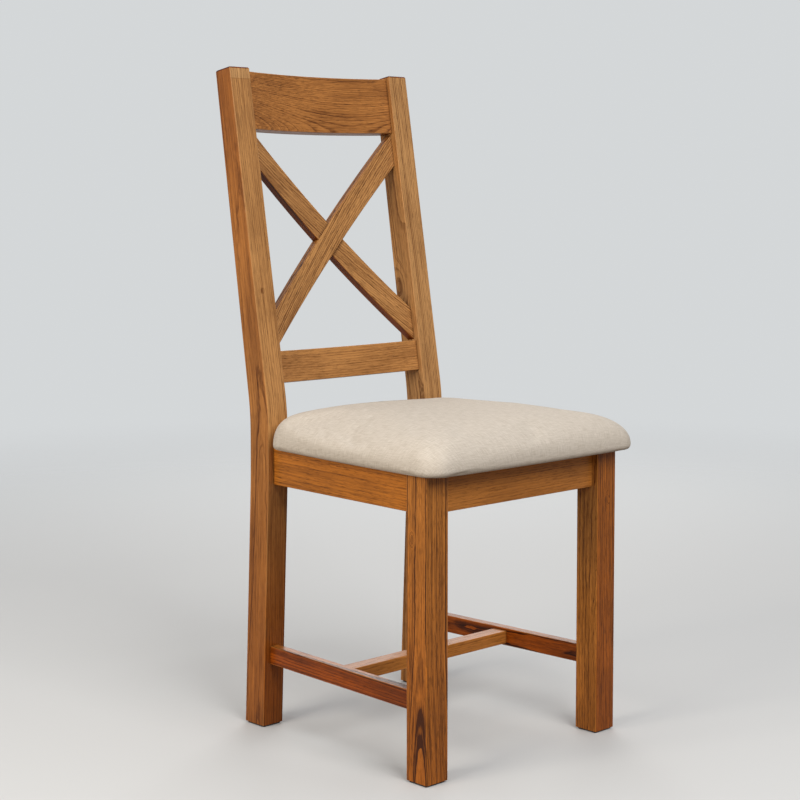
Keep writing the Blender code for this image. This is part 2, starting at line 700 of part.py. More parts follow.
def dome_rings(inset):
    """Rings of the pad's crowned top from its widest line to its middle, for a layer this far inside it.

    Each ring is the outline drawn in towards the middle by a share r, at a height of
    crown * (1 - r ** dome power) ** (1 / edge power), where the crown falls towards the front corners and
    rises towards the rear ones.
    """
    outline = pad_outline(inset)
    centre = np.array((0.0, (PAD_FRONT + PAD_REAR) / 2))
    half_length = (PAD_REAR - PAD_FRONT) / 2
    rings = []
    for share in PAD_DOME_SHARES:
        points = centre + share * (outline - centre)
        along = (points[:, 1] - centre[1]) / half_length
        half_width = PAD_FRONT_HALF + (along + 1) / 2 * (PAD_REAR_HALF - PAD_FRONT_HALF)
        corner = np.abs(points[:, 0] / half_width * along) ** 3
        crown = PAD_CROWN - inset + corner * np.where(along < 0, -PAD_FRONT_CORNER_FALL, PAD_REAR_CORNER_RISE)
        heights = PAD_WIDEST + crown * (1 - share**PAD_DOME_POWER) ** (1 / PAD_EDGE_POWER)
        rings.append(np.column_stack((points, heights)))
    return rings


def tuck_rings(inset, low):
    """Rings from the pad's widest line round and under to its flat bottom, for a layer this far inside it."""
    rings = []
    for step in range(1, PAD_TUCK_STEPS + 1):
        turn = step / PAD_TUCK_STEPS * math.pi / 2
        drawn_in = inset + (PAD_TUCK - inset) * (1 - math.cos(turn))
        outline = pad_outline(drawn_in)
        height = PAD_WIDEST - (PAD_WIDEST - low) * math.sin(turn)
        rings.append(np.column_stack((outline, np.full(len(outline), height))))
    return rings


def flat_ring(inset, height):
    """The pad's outline, drawn in by inset, laid flat at a height."""
    outline = pad_outline(inset)
    return np.column_stack((outline, np.full(len(outline), height)))


def seat_pad():
    """Plywood board, foam, linen cover turned under the board, and the dust cover inside its hem."""
    hem = PAD_TUCK + COVER_TURN_UNDER
    hem_high = PAD_LOW + COVER_THICKNESS
    outside = dome_rings(0.0)[::-1] + tuck_rings(0.0, PAD_LOW) + [flat_ring(hem, PAD_LOW)]
    inside = dome_rings(COVER_THICKNESS)[::-1] + tuck_rings(COVER_THICKNESS, hem_high)
    inside.append(flat_ring(hem, hem_high))
    loft("seat_cover", outside + inside[::-1], LINEN)
    foam_inset = COVER_THICKNESS + CLEARANCE
    foam = dome_rings(foam_inset)
    loft("seat_foam", foam, FOAM)
    loft("seat_board", [flat_ring(PAD_TUCK, BOARD_LOW), flat_ring(PAD_TUCK, BOARD_HIGH)], PLYWOOD)
    dust_inset = hem + DUST_COVER_GAP
    dust_high = BOARD_LOW - CLEARANCE
    dust_low = dust_high - DUST_COVER_THICKNESS
    loft("dust_cover", [flat_ring(dust_inset, dust_low), flat_ring(dust_inset, dust_high)], DUST_CLOTH)


def centre_on_floor():
    """Parents every piece to an empty that puts the origin under the middle of the chair's box."""
    pieces = list(bpy.data.objects)
    points = np.array([corner for piece in pieces for corner in piece.bound_box])
    middle = (points.min(axis=0) + points.max(axis=0)) / 2
    chair = bpy.data.objects.new("chair", None)
    bpy.context.scene.collection.objects.link(chair)
    chair.location = (-middle[0], -middle[1], 0.0)
    for piece in pieces:
        piece.parent = chair


for leftover in list(bpy.data.objects):
    bpy.data.objects.remove(leftover)

for side in SIDES:
    rear_post(side)
    front_leg(side)
aprons()
stretchers()
back_rail("top_rail", TOP_RAIL_LOW, TOP_RAIL_HIGH)
back_rail("lower_back_rail", LOWER_RAIL_START, LOWER_RAIL_HIGH)
cross_braces()
glides()
seat_pad()
corner_blocks()
cut_mortises()
centre_on_floor()
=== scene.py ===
"""Looks of an oak cross-back dining chair with a linen seat pad, in a plain studio.

Metres, +Z up. The chair faces -Y, and its sitter's left is +X.
"""

import math

import bpy
import numpy as np
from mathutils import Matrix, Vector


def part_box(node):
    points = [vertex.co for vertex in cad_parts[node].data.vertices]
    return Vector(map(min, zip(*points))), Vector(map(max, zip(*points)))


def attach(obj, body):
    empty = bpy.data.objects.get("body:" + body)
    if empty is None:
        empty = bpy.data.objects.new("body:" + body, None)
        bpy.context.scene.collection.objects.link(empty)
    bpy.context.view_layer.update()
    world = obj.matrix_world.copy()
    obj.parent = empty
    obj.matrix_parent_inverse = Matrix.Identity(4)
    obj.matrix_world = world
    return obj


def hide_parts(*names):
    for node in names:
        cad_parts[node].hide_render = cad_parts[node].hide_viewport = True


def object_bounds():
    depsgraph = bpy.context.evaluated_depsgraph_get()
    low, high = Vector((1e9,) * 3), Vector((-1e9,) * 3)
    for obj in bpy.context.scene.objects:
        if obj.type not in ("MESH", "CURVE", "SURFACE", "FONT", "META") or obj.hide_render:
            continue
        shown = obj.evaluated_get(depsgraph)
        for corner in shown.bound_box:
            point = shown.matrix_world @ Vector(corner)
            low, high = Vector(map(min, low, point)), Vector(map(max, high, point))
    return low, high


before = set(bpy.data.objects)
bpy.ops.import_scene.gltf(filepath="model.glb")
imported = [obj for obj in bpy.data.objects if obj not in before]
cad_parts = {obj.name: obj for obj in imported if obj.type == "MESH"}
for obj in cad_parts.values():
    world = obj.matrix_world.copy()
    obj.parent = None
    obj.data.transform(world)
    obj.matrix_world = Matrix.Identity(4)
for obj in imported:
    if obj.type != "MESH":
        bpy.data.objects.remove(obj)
cad_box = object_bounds()
bpy.context.scene.view_settings.view_transform = "Standard"


# Rear posts. Each is sawn from one oak board and runs from the floor to the top of the back: a splayed
# foot, an upright stretch that takes the seat frame, a knee, and the raked back. Every edge is eased and
# the top is rounded over. The oak is stained golden brown and lacquered to a satin sheen.
POST_DEPTH = 0.045
POST_TOP_DEPTH = 0.0365
POST_SPLAY = 0.017
POST_SPLAY_TOP = 0.400
POST_KNEE = 0.505
POST_RAKE = math.radians(9.5)
KNEE_SPREAD = 0.029
POST_PLAIN_LOW = 0.43
POST_PLAIN_HIGH = 0.58
POST_BLOCK = 1.0305
POST_BLOCK_CLEAR = 0.02
POST_GLUE = 0.0009
POST_GLUE_SHADE = 0.5
POST_FOOT_RINGS = 12
POST_BACK_RINGS = 13
END_STAIN = 3.0
# The low values are painted shade: the posts darken towards the floor, their front faces most, under the
# seat.
LOW_PAINTED_SHADE = 0.5
LOW_PAINTED_SHADE_LEAD = 0.2
LOW_FRONT_PAINTED_SHADE = 1.4
SIDE_DARKENING_RISE = 0.4
POST_CROWN_EASE = 0.003
OAK_EASE = 0.0013
OAK_EASE_STEPS = 4
ARRIS_REACH = 0.0007
JOINT_SHADE = 0.0035
OAK_SMOOTH = math.radians(35)

post_low, post_high = (np.array(corner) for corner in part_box("rear_post_right"))
post_front = post_low[1]


def eased_section(half_u, half_v, ease):
    """(u, v) round a rectangle with eased corners, one row for each ring, with each point's arris and facing.

    Each corner has a quarter circle of the easing's radius and a guard point on the flat to either side, so
    a point is its corner, moved in by the easing, plus the easing times (cos, sin). The arris is 1 at the
    middle of a corner and 0 on the flats, and the facing is the (cos, sin) of the way that the point looks.
    """
    half_u, half_v = np.broadcast_arrays(np.atleast_1d(half_u), np.atleast_1d(half_v))
    turn = np.arange(4)[:, None] * np.pi / 2
    angle = turn + np.linspace(0, np.pi / 2, OAK_EASE_STEPS + 1)
    sign_u = np.sign(np.cos(turn + np.pi / 4))
    sign_v = np.sign(np.sin(turn + np.pi / 4))
    off_u = ease * (np.cos(angle) - sign_u)
    off_v = ease * (np.sin(angle) - sign_v)
    last, first = turn + np.pi / 2, turn
    guards = ARRIS_REACH * np.stack((np.cos(last), np.cos(first), np.sin(last), np.sin(first)))
    off_u = np.hstack((off_u[:, :1] - guards[0], off_u, off_u[:, -1:] - guards[1]))
    off_v = np.hstack((off_v[:, :1] - guards[2], off_v, off_v[:, -1:] - guards[3]))
    corner = np.ones(off_u.shape[1])
    arris = np.tile(np.sin(np.linspace(0, np.pi, len(corner))), 4)
    looks = np.hstack((angle[:, :1], angle, angle[:, -1:])).ravel()
    u = half_u[:, None] * (sign_u * corner).ravel() + off_u.ravel()
    v = half_v[:, None] * (sign_v * corner).ravel() + off_v.ravel()
    return u, v, arris, np.stack((np.cos(looks), np.sin(looks)), axis=-1)


def face_share(facing, depths):
    """A mask at each point, from its values on the faces that look to -u, +u, -v and +v, a row for each ring.

    Each face's value counts by the square of the cosine between that face and the way the point looks.
    """
    cosines = np.stack((-facing[:, 0], facing[:, 0], -facing[:, 1], facing[:, 1]))
    return np.atleast_2d(np.asarray(depths, float)) @ np.clip(cosines, 0, 1) ** 2


def set_down(name, data):
    """A new object in the scene that holds a mesh, a lamp or a camera."""
    thing = bpy.data.objects.new(name, data)
    bpy.context.scene.collection.objects.link(thing)
    return thing


def oak_piece(name, node, points, grain, masks, finish):
    """A closed skin over rings of points, with a face over each end, that stands for a CAD node.

    grain holds, for each point, its place across and along the board that the piece is sawn from. The masks
    are arris, joint and stain_and_shade, which say how near the point is to an eased edge and to a glued
    joint, and how dark it is. The darkness is partly stain and partly painted shade.
    """
    rings, count = points.shape[:2]
    here = np.arange(rings * count).reshape(rings, count)
    beside = np.roll(here, -1, axis=1)
    quads = np.stack((here[:-1], beside[:-1], beside[1:], here[1:]), axis=-1).reshape(-1, 4)
    faces = quads.tolist() + [here[0, ::-1].tolist(), here[-1].tolist()]
    mesh = bpy.data.meshes.new(name)
    mesh.from_pydata(points.reshape(-1, 3).tolist(), [], faces)
    centre = points.reshape(-1, 3).mean(axis=0)
    middle = quads[len(quads) // 2]
    corner = points.reshape(-1, 3)[middle]
    outward = np.cross(corner[1] - corner[0], corner[3] - corner[0]) @ (corner.mean(axis=0) - centre)
    if outward < 0:
        mesh.flip_normals()
    lines = grain.astype(np.float32)
    mesh.attributes.new("grain", "FLOAT_VECTOR", "POINT").data.foreach_set("vector", lines.ravel())
    for mask_name, mask in masks.items():
        spread = np.ascontiguousarray(np.broadcast_to(mask, (rings, count)), dtype=np.float32)
        mesh.attributes.new(mask_name, "FLOAT", "POINT").data.foreach_set("value", spread.ravel())
    mesh.shade_smooth()
    mesh.set_sharp_from_angle(angle=OAK_SMOOTH)
    mesh.materials.append(finish)
    piece = set_down(name, mesh)
    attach(piece, "root")
    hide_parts(node)
    return piece


def between_joints(low, high, count):
    """Stations from one joint to the next, with one close to each end to keep a joint's shade beside it."""
    inner = np.linspace(low + JOINT_SHADE, high - JOINT_SHADE, count)
    return np.concatenate(((low,), inner, (high,)))


NO_FACES = (0.0, 0.0, 0.0, 0.0)


def all_round(rings):
    """The same value on all four faces of each ring."""
    return np.repeat(np.asarray(rings, float)[:, None], 4, axis=1)


def oak_bar(
    name, node, centres, across, half_u, upright, half_v, finish, joint=NO_FACES, stain_and_shade=NO_FACES, swerve=0.0
):
    """A bar: an eased rectangle carried along a path, where a point is path + u * across + v * upright.

    The board's grain runs along the path, so the grain's third number is the length travelled on it, and a
    swerve for each ring moves the log across the board. The joint and stain_and_shade masks hold four faces'
    values, for the whole bar or for each ring; the second is partly stain and partly painted shade.
    """
    centres = np.asarray(centres, float)
    rings = len(centres)
    across = np.broadcast_to(np.asarray(across, float), (rings, 3))
    upright = np.broadcast_to(np.asarray(upright, float), (rings, 3))
    half_u = np.broadcast_to(np.asarray(half_u, float), (rings,))
    half_v = np.broadcast_to(np.asarray(half_v, float), (rings,))
    u, v, arris, facing = eased_section(half_u, half_v, OAK_EASE)
    points = centres[:, None] + u[..., None] * across[:, None] + v[..., None] * upright[:, None]
    steps = np.linalg.norm(np.diff(centres, axis=0), axis=1)
    travelled = np.concatenate(((0.0,), np.cumsum(steps)))
    swerve = np.broadcast_to(np.asarray(swerve, float), (rings,))
    grain = np.stack((u + swerve[:, None], v, np.broadcast_to(travelled[:, None], u.shape)), axis=-1)
    masks = {"arris": arris, "joint": face_share(facing, joint), "stain_and_shade": face_share(facing, stain_and_shade)}
    return oak_piece(name, node, points, grain, masks, finish)


def put(tree, kind, inputs, **settings):
    """Adds a shader node. inputs maps a socket's name or number to a value or to another node's socket."""
    node = tree.nodes.new(kind)
    for name, value in settings.items():
        setattr(node, name, value)
    for key, value in inputs.items():
        if isinstance(value, bpy.types.NodeSocket):
            tree.links.new(value, node.inputs[key])
        else:
            node.inputs[key].default_value = value
    return node


def calc(tree, operation, first, second=0.0, third=0.0):
    """A Math node's result."""
    node = put(tree, "ShaderNodeMath", {0: first, 1: second, 2: third}, operation=operation)
    return node.outputs[0]


def remap(tree, value, low, high, to_low=0.0, to_high=1.0):
    """A value eased from one range into another, and held at its ends."""
    inputs = {"Value": value, "From Min": low, "From Max": high, "To Min": to_low, "To Max": to_high}
    node = put(tree, "ShaderNodeMapRange", inputs, interpolation_type="SMOOTHSTEP")
    return node.outputs[0]


def noise(tree, vector, stretch, detail=2.0, roughness=0.5):
    """Noise of a vector that is first multiplied, axis by axis, by the stretch."""
    scaled = put(tree, "ShaderNodeVectorMath", {0: vector, 1: stretch}, operation="MULTIPLY")
    inputs = {"Vector": scaled.outputs[0], "Scale": 1.0, "Detail": detail, "Roughness": roughness}
    return put(tree, "ShaderNodeTexNoise", inputs)


def blend(tree, share, first, second, blend_type="MIX"):
    """A colour between two colours."""
    settings = {"data_type": "RGBA", "blend_type": blend_type, "clamp_factor": True}
    return put(tree, "ShaderNodeMix", {0: share, 6: first, 7: second}, **settings).outputs[2]


def group(name, sockets_in, sockets_out):
    """An empty shader node group with named sockets, and its input and output nodes."""
    tree = bpy.data.node_groups.new(name, "ShaderNodeTree")
    for socket_name, kind, value in sockets_in:
        socket = tree.interface.new_socket(socket_name, in_out="INPUT", socket_type=kind)
        if value is not None:
            socket.default_value = value
    for socket_name, kind in sockets_out:
        tree.interface.new_socket(socket_name, in_out="OUTPUT", socket_type=kind)
    return tree, tree.nodes.new("NodeGroupInput").outputs, tree.nodes.new("NodeGroupOutput")


OAK_SLOW_DRIFT = (13.0, 13.0, 2.2)
OAK_QUICK_DRIFT = (70.0, 70.0, 30.0)
OAK_KNOT_STRETCH = (1.0, 1.0, 0.45)
OAK_PORE_STRETCH = (640.0, 640.0, 60.0)
OAK_FIBRE_STRETCH = (420.0, 420.0, 9.0)
OAK_BROAD_STRETCH = (30.0, 30.0, 1.8)
OAK_PATCH_STRETCH = (16.0, 16.0, 9.0)
OAK_PORE_TINT = (0.42, 0.34, 0.30, 1.0)
OAK_WORN_AND_HIGHLIT_TINT = (1.15, 1.2, 1.25, 1.0)
OAK_ROUGHNESS = 0.33
OAK_SPECULAR = 0.15


def oak_figure():
    """Solid oak, as a log sees it: X and Y run across the log from its pith, and Z along it.

    Growth rings are the distance from the pith, shifted by slow noise, over the ring spacing. Each ring
    starts with a dark, porous line that fades. Pores are fine dashes of noise drawn out along Z, most of
    them in those lines. Fibres, broad bands and patches of noise vary the tone. Rings swell round a knot.
    Eased edges pale, partly as wear and partly as a painted highlight. Joints darken, partly as pooled
    stain and partly as painted shade where parts meet. The stain-and-shade input deepens the colour,
    partly as stain and partly as painted shade.
    """
    tree, given, made = group(
        "oak_figure",
        (
            ("Log", "NodeSocketVector", None),
            ("Board", "NodeSocketVector", None),
            ("Arris", "NodeSocketFloat", 0.0),
            ("Joint", "NodeSocketFloat", 0.0),
            ("Stain_and_shade", "NodeSocketFloat", 0.0),
            ("Ring spacing", "NodeSocketFloat", 0.003),
            ("Wander", "NodeSocketFloat", 0.004),
            ("Figure", "NodeSocketFloat", 0.6),
            ("Pores", "NodeSocketFloat", 0.6),
            ("Fibre", "NodeSocketFloat", 1.1),
            ("Light", "NodeSocketColor", (0.5, 0.25, 0.09, 1.0)),
            ("Dark", "NodeSocketColor", (0.2, 0.08, 0.02, 1.0)),
            ("Knot", "NodeSocketVector", None),
            ("Knot size", "NodeSocketFloat", 0.004),
            ("Heart", "NodeSocketFloat", 0.9),
        ),
        (("Color", "NodeSocketColor"), ("Roughness", "NodeSocketFloat"), ("Height", "NodeSocketFloat")),
    )
    log = given["Log"]

    def vector(operation, first, second):
        """A Vector Math node's result."""
        return put(tree, "ShaderNodeVectorMath", {0: first, 1: second}, operation=operation).outputs[0]

    def length(first):
        """A vector's length."""
        return put(tree, "ShaderNodeVectorMath", {0: first}, operation="LENGTH").outputs["Value"]

    slow = vector("SUBTRACT", noise(tree, log, OAK_SLOW_DRIFT).outputs["Color"], (0.5, 0.5, 0.5))
    quick = vector("SUBTRACT", noise(tree, log, OAK_QUICK_DRIFT).outputs["Color"], (0.5, 0.5, 0.5))
    drift = vector("ADD", slow, vector("MULTIPLY", quick, (0.25, 0.25, 0.0)))
    drift = put(tree, "ShaderNodeVectorMath", {0: drift, "Scale": given["Wander"]}, operation="SCALE")
    radius = length(vector("MULTIPLY", vector("ADD", log, drift.outputs[0]), (1.0, 1.0, 0.0)))
    away = length(vector("MULTIPLY", vector("SUBTRACT", given["Board"], given["Knot"]), OAK_KNOT_STRETCH))
    away = calc(tree, "DIVIDE", away, given["Knot size"])
    swelling = remap(tree, away, 0.0, 4.0, 1.0, 0.0)
    turns = calc(tree, "DIVIDE", radius, given["Ring spacing"])
    turns = calc(tree, "MULTIPLY_ADD", swelling, 2.4, turns)
    slowed = calc(tree, "MULTIPLY", turns, 0.55)
    uneven = put(tree, "ShaderNodeTexNoise", {"W": slowed}, noise_dimensions="1D")
    turns = calc(tree, "MULTIPLY_ADD", uneven.outputs[0], 1.2, turns)
    phase = calc(tree, "FRACT", turns)
    year = put(tree, "ShaderNodeTexWhiteNoise", {"W": calc(tree, "FLOOR", turns)}, noise_dimensions="1D")
    line = calc(tree, "MAXIMUM", remap(tree, phase, 0.0, 0.27, 1.0, 0.0), remap(tree, phase, 0.94, 1.0))
    fading = remap(tree, phase, 0.0, 0.9, 1.0, 0.0)
    band = calc(tree, "MULTIPLY_ADD", fading, 0.3, calc(tree, "MULTIPLY", line, 0.7))
    band = calc(tree, "MULTIPLY", band, remap(tree, year.outputs["Value"], 0.0, 1.0, 0.5, 1.0))

    pore = noise(tree, log, OAK_PORE_STRETCH, 2.0, 0.6).outputs[0]
    pore = remap(tree, pore, 0.51, 0.63)
    pore = calc(tree, "MULTIPLY", pore, calc(tree, "MULTIPLY_ADD", band, 0.6, 0.4))
    fibre = calc(tree, "SUBTRACT", noise(tree, log, OAK_FIBRE_STRETCH, 3.0, 0.65).outputs[0], 0.5)
    broad = calc(tree, "SUBTRACT", noise(tree, log, OAK_BROAD_STRETCH).outputs[0], 0.5)
    patch = calc(tree, "SUBTRACT", noise(tree, log, OAK_PATCH_STRETCH).outputs[0], 0.5)
    tone = calc(tree, "MULTIPLY_ADD", band, given["Figure"], 0.16)
    tone = calc(tree, "MULTIPLY_ADD", fibre, given["Fibre"], tone)
    tone = calc(tree, "MULTIPLY_ADD", broad, 0.7, tone)
    tone = calc(tree, "MULTIPLY_ADD", patch, 0.6, tone)
    colour = blend(tree, tone, given["Light"], given["Dark"])
    density = calc(tree, "MULTIPLY_ADD", given["Stain_and_shade"], 0.6, 1.0)
    colour = put(tree, "ShaderNodeGamma", {"Color": colour, "Gamma": density}).outputs[0]
    deep = blend(tree, 1.0, given["Dark"], OAK_PORE_TINT, "MULTIPLY")
    colour = blend(tree, calc(tree, "MULTIPLY", pore, given["Pores"]), colour, deep)
    heart = calc(tree, "MULTIPLY", remap(tree, away, 0.35, 1.5, 1.0, 0.0), given["Heart"])
    colour = blend(tree, heart, colour, given["Dark"])
    # Eased edges pale towards a lighter, cooler tint: partly wear through the stain, partly a painted
    # highlight.
    worn_and_highlit = blend(tree, 1.0, given["Light"], OAK_WORN_AND_HIGHLIT_TINT, "MULTIPLY")
    rubbed_and_highlit = calc(tree, "MULTIPLY", given["Arris"], remap(tree, fibre, -0.1, 0.15, 0.0, 0.4))
    colour = blend(tree, rubbed_and_highlit, colour, worn_and_highlit)
    # Joints darken towards the deep pore tone: partly stain pooled in the joint, partly painted shade where
    # parts meet.
    pooled_and_shaded = calc(tree, "MULTIPLY", given["Joint"], remap(tree, patch, -0.2, 0.2, 0.45, 0.8))
    colour = blend(tree, pooled_and_shaded, colour, deep)
    roughness = calc(tree, "MULTIPLY_ADD", pore, 0.20, OAK_ROUGHNESS)
    roughness = calc(tree, "MULTIPLY_ADD", fibre, 0.15, roughness)
    height = calc(tree, "MULTIPLY_ADD", pore, -0.8, calc(tree, "MULTIPLY", band, -0.25))
    height = calc(tree, "MULTIPLY_ADD", fibre, 0.4, height)
    for name, value in (("Color", colour), ("Roughness", roughness), ("Height", height)):
        tree.links.new(value, made.inputs[name])
    return tree


OAK_FIGURE = oak_figure()
NO_KNOT = (9.0, 9.0, 9.0)


def new_finish(name):
    """A new material, with its node tree and its shader."""
    finish = bpy.data.materials.new(name)
    finish.use_nodes = True
    return finish, finish.node_tree, finish.node_tree.nodes["Principled BSDF"]


def lay_on(tree, shader, colour, roughness, height, strength, distance):
    """Gives a shader its colour, its roughness and a bump of a height."""
    bump = put(tree, "ShaderNodeBump", {"Height": height, "Strength": strength, "Distance": distance})
    for key, value in (("Base Color", colour), ("Roughness", roughness), ("Normal", bump.outputs[0])):
        tree.links.new(value, shader.inputs[key])


def oak_finish(
    name, light, dark, pith, lean, spacing, wander, figure, pores,
    fibre=1.1, knot=NO_KNOT, knot_size=0.003, heart=0.9,
):
    """Lacquered oak for one piece: where its pith lies, how that leans, its tones and its knot."""
    finish, tree, shader = new_finish(name)
    grain = put(tree, "ShaderNodeAttribute", {}, attribute_name="grain").outputs["Vector"]
    turned = [math.radians(angle) for angle in lean]
    log = put(tree, "ShaderNodeMapping", {"Vector": grain, "Location": pith, "Rotation": turned})
    oak = put(tree, "ShaderNodeGroup", {}, node_tree=OAK_FIGURE)
    tree.links.new(log.outputs[0], oak.inputs["Log"])
    tree.links.new(grain, oak.inputs["Board"])
    for mask_name in ("arris", "joint", "stain_and_shade"):
        mask = put(tree, "ShaderNodeAttribute", {}, attribute_name=mask_name)
        tree.links.new(mask.outputs["Fac"], oak.inputs[mask_name.capitalize()])
    values = {
        "Ring spacing": spacing,
        "Wander": wander,
        "Figure": figure,
        "Pores": pores,
        "Fibre": fibre,
        "Light": (*light, 1.0),
        "Dark": (*dark, 1.0),
        "Knot": knot,
        "Knot size": knot_size,
        "Heart": heart,
    }
    for key, value in values.items():
        oak.inputs[key].default_value = value
    made = oak.outputs
    lay_on(tree, shader, made["Color"], made["Roughness"], made["Height"], strength=0.25, distance=0.0004)
    shader.inputs["Specular IOR Level"].default_value = OAK_SPECULAR
    return finish


OAK_GOLD = (0.56, 0.276, 0.094)
OAK_ORANGE = (0.53, 0.196, 0.037)
OAK_BROWN = (0.14, 0.044, 0.008)
OAK_DEEP = (0.09, 0.026, 0.005)


def ramp(distance):
    """Zero before the bend and equal to the distance after it, with a parabola across the bend's spread."""
    rounded = (distance + KNEE_SPREAD) ** 2 / (4 * KNEE_SPREAD)
    return np.where(distance < -KNEE_SPREAD, 0.0, np.where(distance > KNEE_SPREAD, distance, rounded))


def post_face(height, back_share):
    """Y of a post's front face (share 0) or back face (share 1) at a height: splay below, rake above."""
    splay_lift = back_share * POST_DEPTH * math.tan(math.atan2(POST_SPLAY, POST_SPLAY_TOP) / 2)
    knee_drop = back_share * POST_DEPTH * math.tan(POST_RAKE / 2)
    splay = POST_SPLAY / POST_SPLAY_TOP * ramp(POST_SPLAY_TOP + splay_lift - height)
    front_run = (post_high[2] - POST_KNEE) * math.tan(POST_RAKE)
    back_run = front_run + POST_TOP_DEPTH * math.cos(POST_RAKE) - POST_DEPTH
    back_rise = post_high[2] - POST_TOP_DEPTH * math.sin(POST_RAKE) - POST_KNEE + knee_drop
    slope = (1 - back_share) * math.tan(POST_RAKE) + back_share * back_run / back_rise
    return post_front + back_share * POST_DEPTH + splay + slope * ramp(height - POST_KNEE + knee_drop)


def rear_post(side_name, finish, stain_and_shade, block_stain):
    """A post: an eased rectangle between its front and back faces, carried up them, and rounded over on top.

    The end grain on top takes more stain. Where the post is pieced out with a block, its front face takes
    the block's own stain above a fine glue line. Painted shade darkens the post towards the floor, and its
    front face most, under the seat.
    """
    low, high = (np.array(corner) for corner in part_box(f"rear_post_{side_name}"))
    foot_stations = np.linspace(low[2], POST_PLAIN_LOW, POST_FOOT_RINGS)
    knee_stations = POST_KNEE + 2 * KNEE_SPREAD * np.linspace(-1, 1, POST_BACK_RINGS)
    back_stations = np.linspace(POST_PLAIN_HIGH, POST_BLOCK - POST_BLOCK_CLEAR, POST_BACK_RINGS)
    glue_stations = POST_BLOCK + POST_GLUE * np.array((-1.0, 0.0, 1.0))
    stations = np.concatenate((foot_stations, knee_stations, back_stations, glue_stations, high[2:]))
    tilt = POST_RAKE * np.clip((stations - POST_KNEE + KNEE_SPREAD) / (2 * KNEE_SPREAD), 0, 1)
    taper = np.clip((stations - POST_KNEE) / (high[2] - POST_KNEE), 0, 1)
    depth = POST_DEPTH + taper * (POST_TOP_DEPTH - POST_DEPTH)
    front = np.stack((post_face(stations, 0.0), stations), axis=1)
    back_height = stations - depth * np.sin(tilt)
    back = np.stack((post_face(back_height, 1.0), back_height), axis=1)
    half_depth = np.linalg.norm(back - front, axis=1) / 2
    half_width = np.full(len(stations), (high[0] - low[0]) / 2)
    across = np.insert((back - front) / (2 * half_depth[:, None]), 0, 0.0, axis=1)
    middle = np.insert((front + back) / 2, 0, (low[0] + high[0]) / 2, axis=1)
    over = np.linspace(0, np.pi / 2, OAK_EASE_STEPS + 1)
    up = np.array((0.0, math.sin(POST_RAKE), math.cos(POST_RAKE)))
    shrink = POST_CROWN_EASE * (1 - np.cos(over))
    crown = middle[-1] - up * (POST_CROWN_EASE * (1 - np.sin(over)))[:, None]
    middle = np.concatenate((middle[:-1], crown))
    across = np.concatenate((across[:-1], np.repeat(across[-1:], len(over), axis=0)))
    half_width = np.concatenate((half_width[:-1], half_width[-1] - shrink))
    half_depth = np.concatenate((half_depth[:-1], half_depth[-1] - shrink))
    depths = np.repeat(np.array((stain_and_shade,), float), len(middle), axis=0)
    # Painted shade: darker towards the floor, most on the front face under the seat.
    low_share = np.clip((POST_SPLAY_TOP - middle[:, 2:]) / POST_SPLAY_TOP + LOW_PAINTED_SHADE_LEAD, 0, 1)
    depths += low_share * (LOW_PAINTED_SHADE, LOW_PAINTED_SHADE, LOW_FRONT_PAINTED_SHADE, LOW_PAINTED_SHADE)
    # The side faces darken up the back, from the knee to the top.
    depths[:, :2] += SIDE_DARKENING_RISE * np.clip((middle[:, 2:] - POST_KNEE) / (high[2] - POST_KNEE), 0, 1)
    depths[1 - len(over) :] += END_STAIN
    depths[len(stations) - 2 :, 2] += block_stain
    glued = np.zeros(depths.shape)
    glued[len(stations) - 3, 2] = POST_GLUE_SHADE * (block_stain != 0)
    name = f"post_{side_name}"
    node = f"rear_post_{side_name}"
    return oak_bar(name, node, middle, (1, 0, 0), half_width, across, half_depth, finish, glued, depths)


rear_post(
    "right",
    oak_finish(
        "oak_post_right", OAK_GOLD, OAK_BROWN, pith=(0.13, 0.01, 0.3), lean=(0.0, 0.4, 0.0),
        spacing=0.0036, wander=0.005, figure=0.55, pores=0.6, fibre=1.5,
        knot=(-0.0054, -0.021, 0.692), knot_size=0.0022,
    ),
    stain_and_shade=(0.42, 0.42, 0.02, 0.2),
    block_stain=-0.25,
)
rear_post(
    "left",
    oak_finish(
        "oak_post_left", OAK_GOLD, OAK_BROWN, pith=(-0.11, 0.02, 1.9), lean=(0.2, 0.5, 0.0),
        spacing=0.0038, wander=0.006, figure=0.85, pores=0.7, fibre=1.4,
        knot=(-0.020, 0.0095, 0.692), knot_size=0.0060, heart=0.55,
    ),
    stain_and_shade=(-0.15, 0.35, -0.1, 0.2),
    block_stain=0.0,
)


# Front legs. Plain square oak posts, glued up from staves and eased along their edges. The seat frame's
# aprons are tenoned into their inner faces. The right leg's grain bends near the foot, where it shows as a
# dark flame.
FLAME_BEND = 0.195
FLAME_SLOPE = 0.05
LEG_LOW_PAINTED_SHADE = 0.35
LEG_RINGS = 31


def front_leg(side_name, slope, stain_and_shade, finish):
    """A leg: an eased rectangle from foot to seat frame, whose grain may bend near the foot."""
    low, high = (np.array(corner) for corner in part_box(f"front_leg_{side_name}"))
    half = (high - low) / 2
    middle = (low + high) / 2
    centres = np.linspace((*middle[:2], low[2]), (*middle[:2], high[2]), LEG_RINGS)
    # Painted shade: the leg darkens towards the foot.
    depths = all_round(np.linspace(LEG_LOW_PAINTED_SHADE, 0.0, len(centres))) + stain_and_shade
    swerve = -slope * ramp(FLAME_BEND - centres[:, 2])
    name = f"leg_{side_name}"
    node = f"front_leg_{side_name}"
    return oak_bar(
        name, node, centres, (1, 0, 0), half[0], (0, 1, 0), half[1], finish, stain_and_shade=depths, swerve=swerve
    )


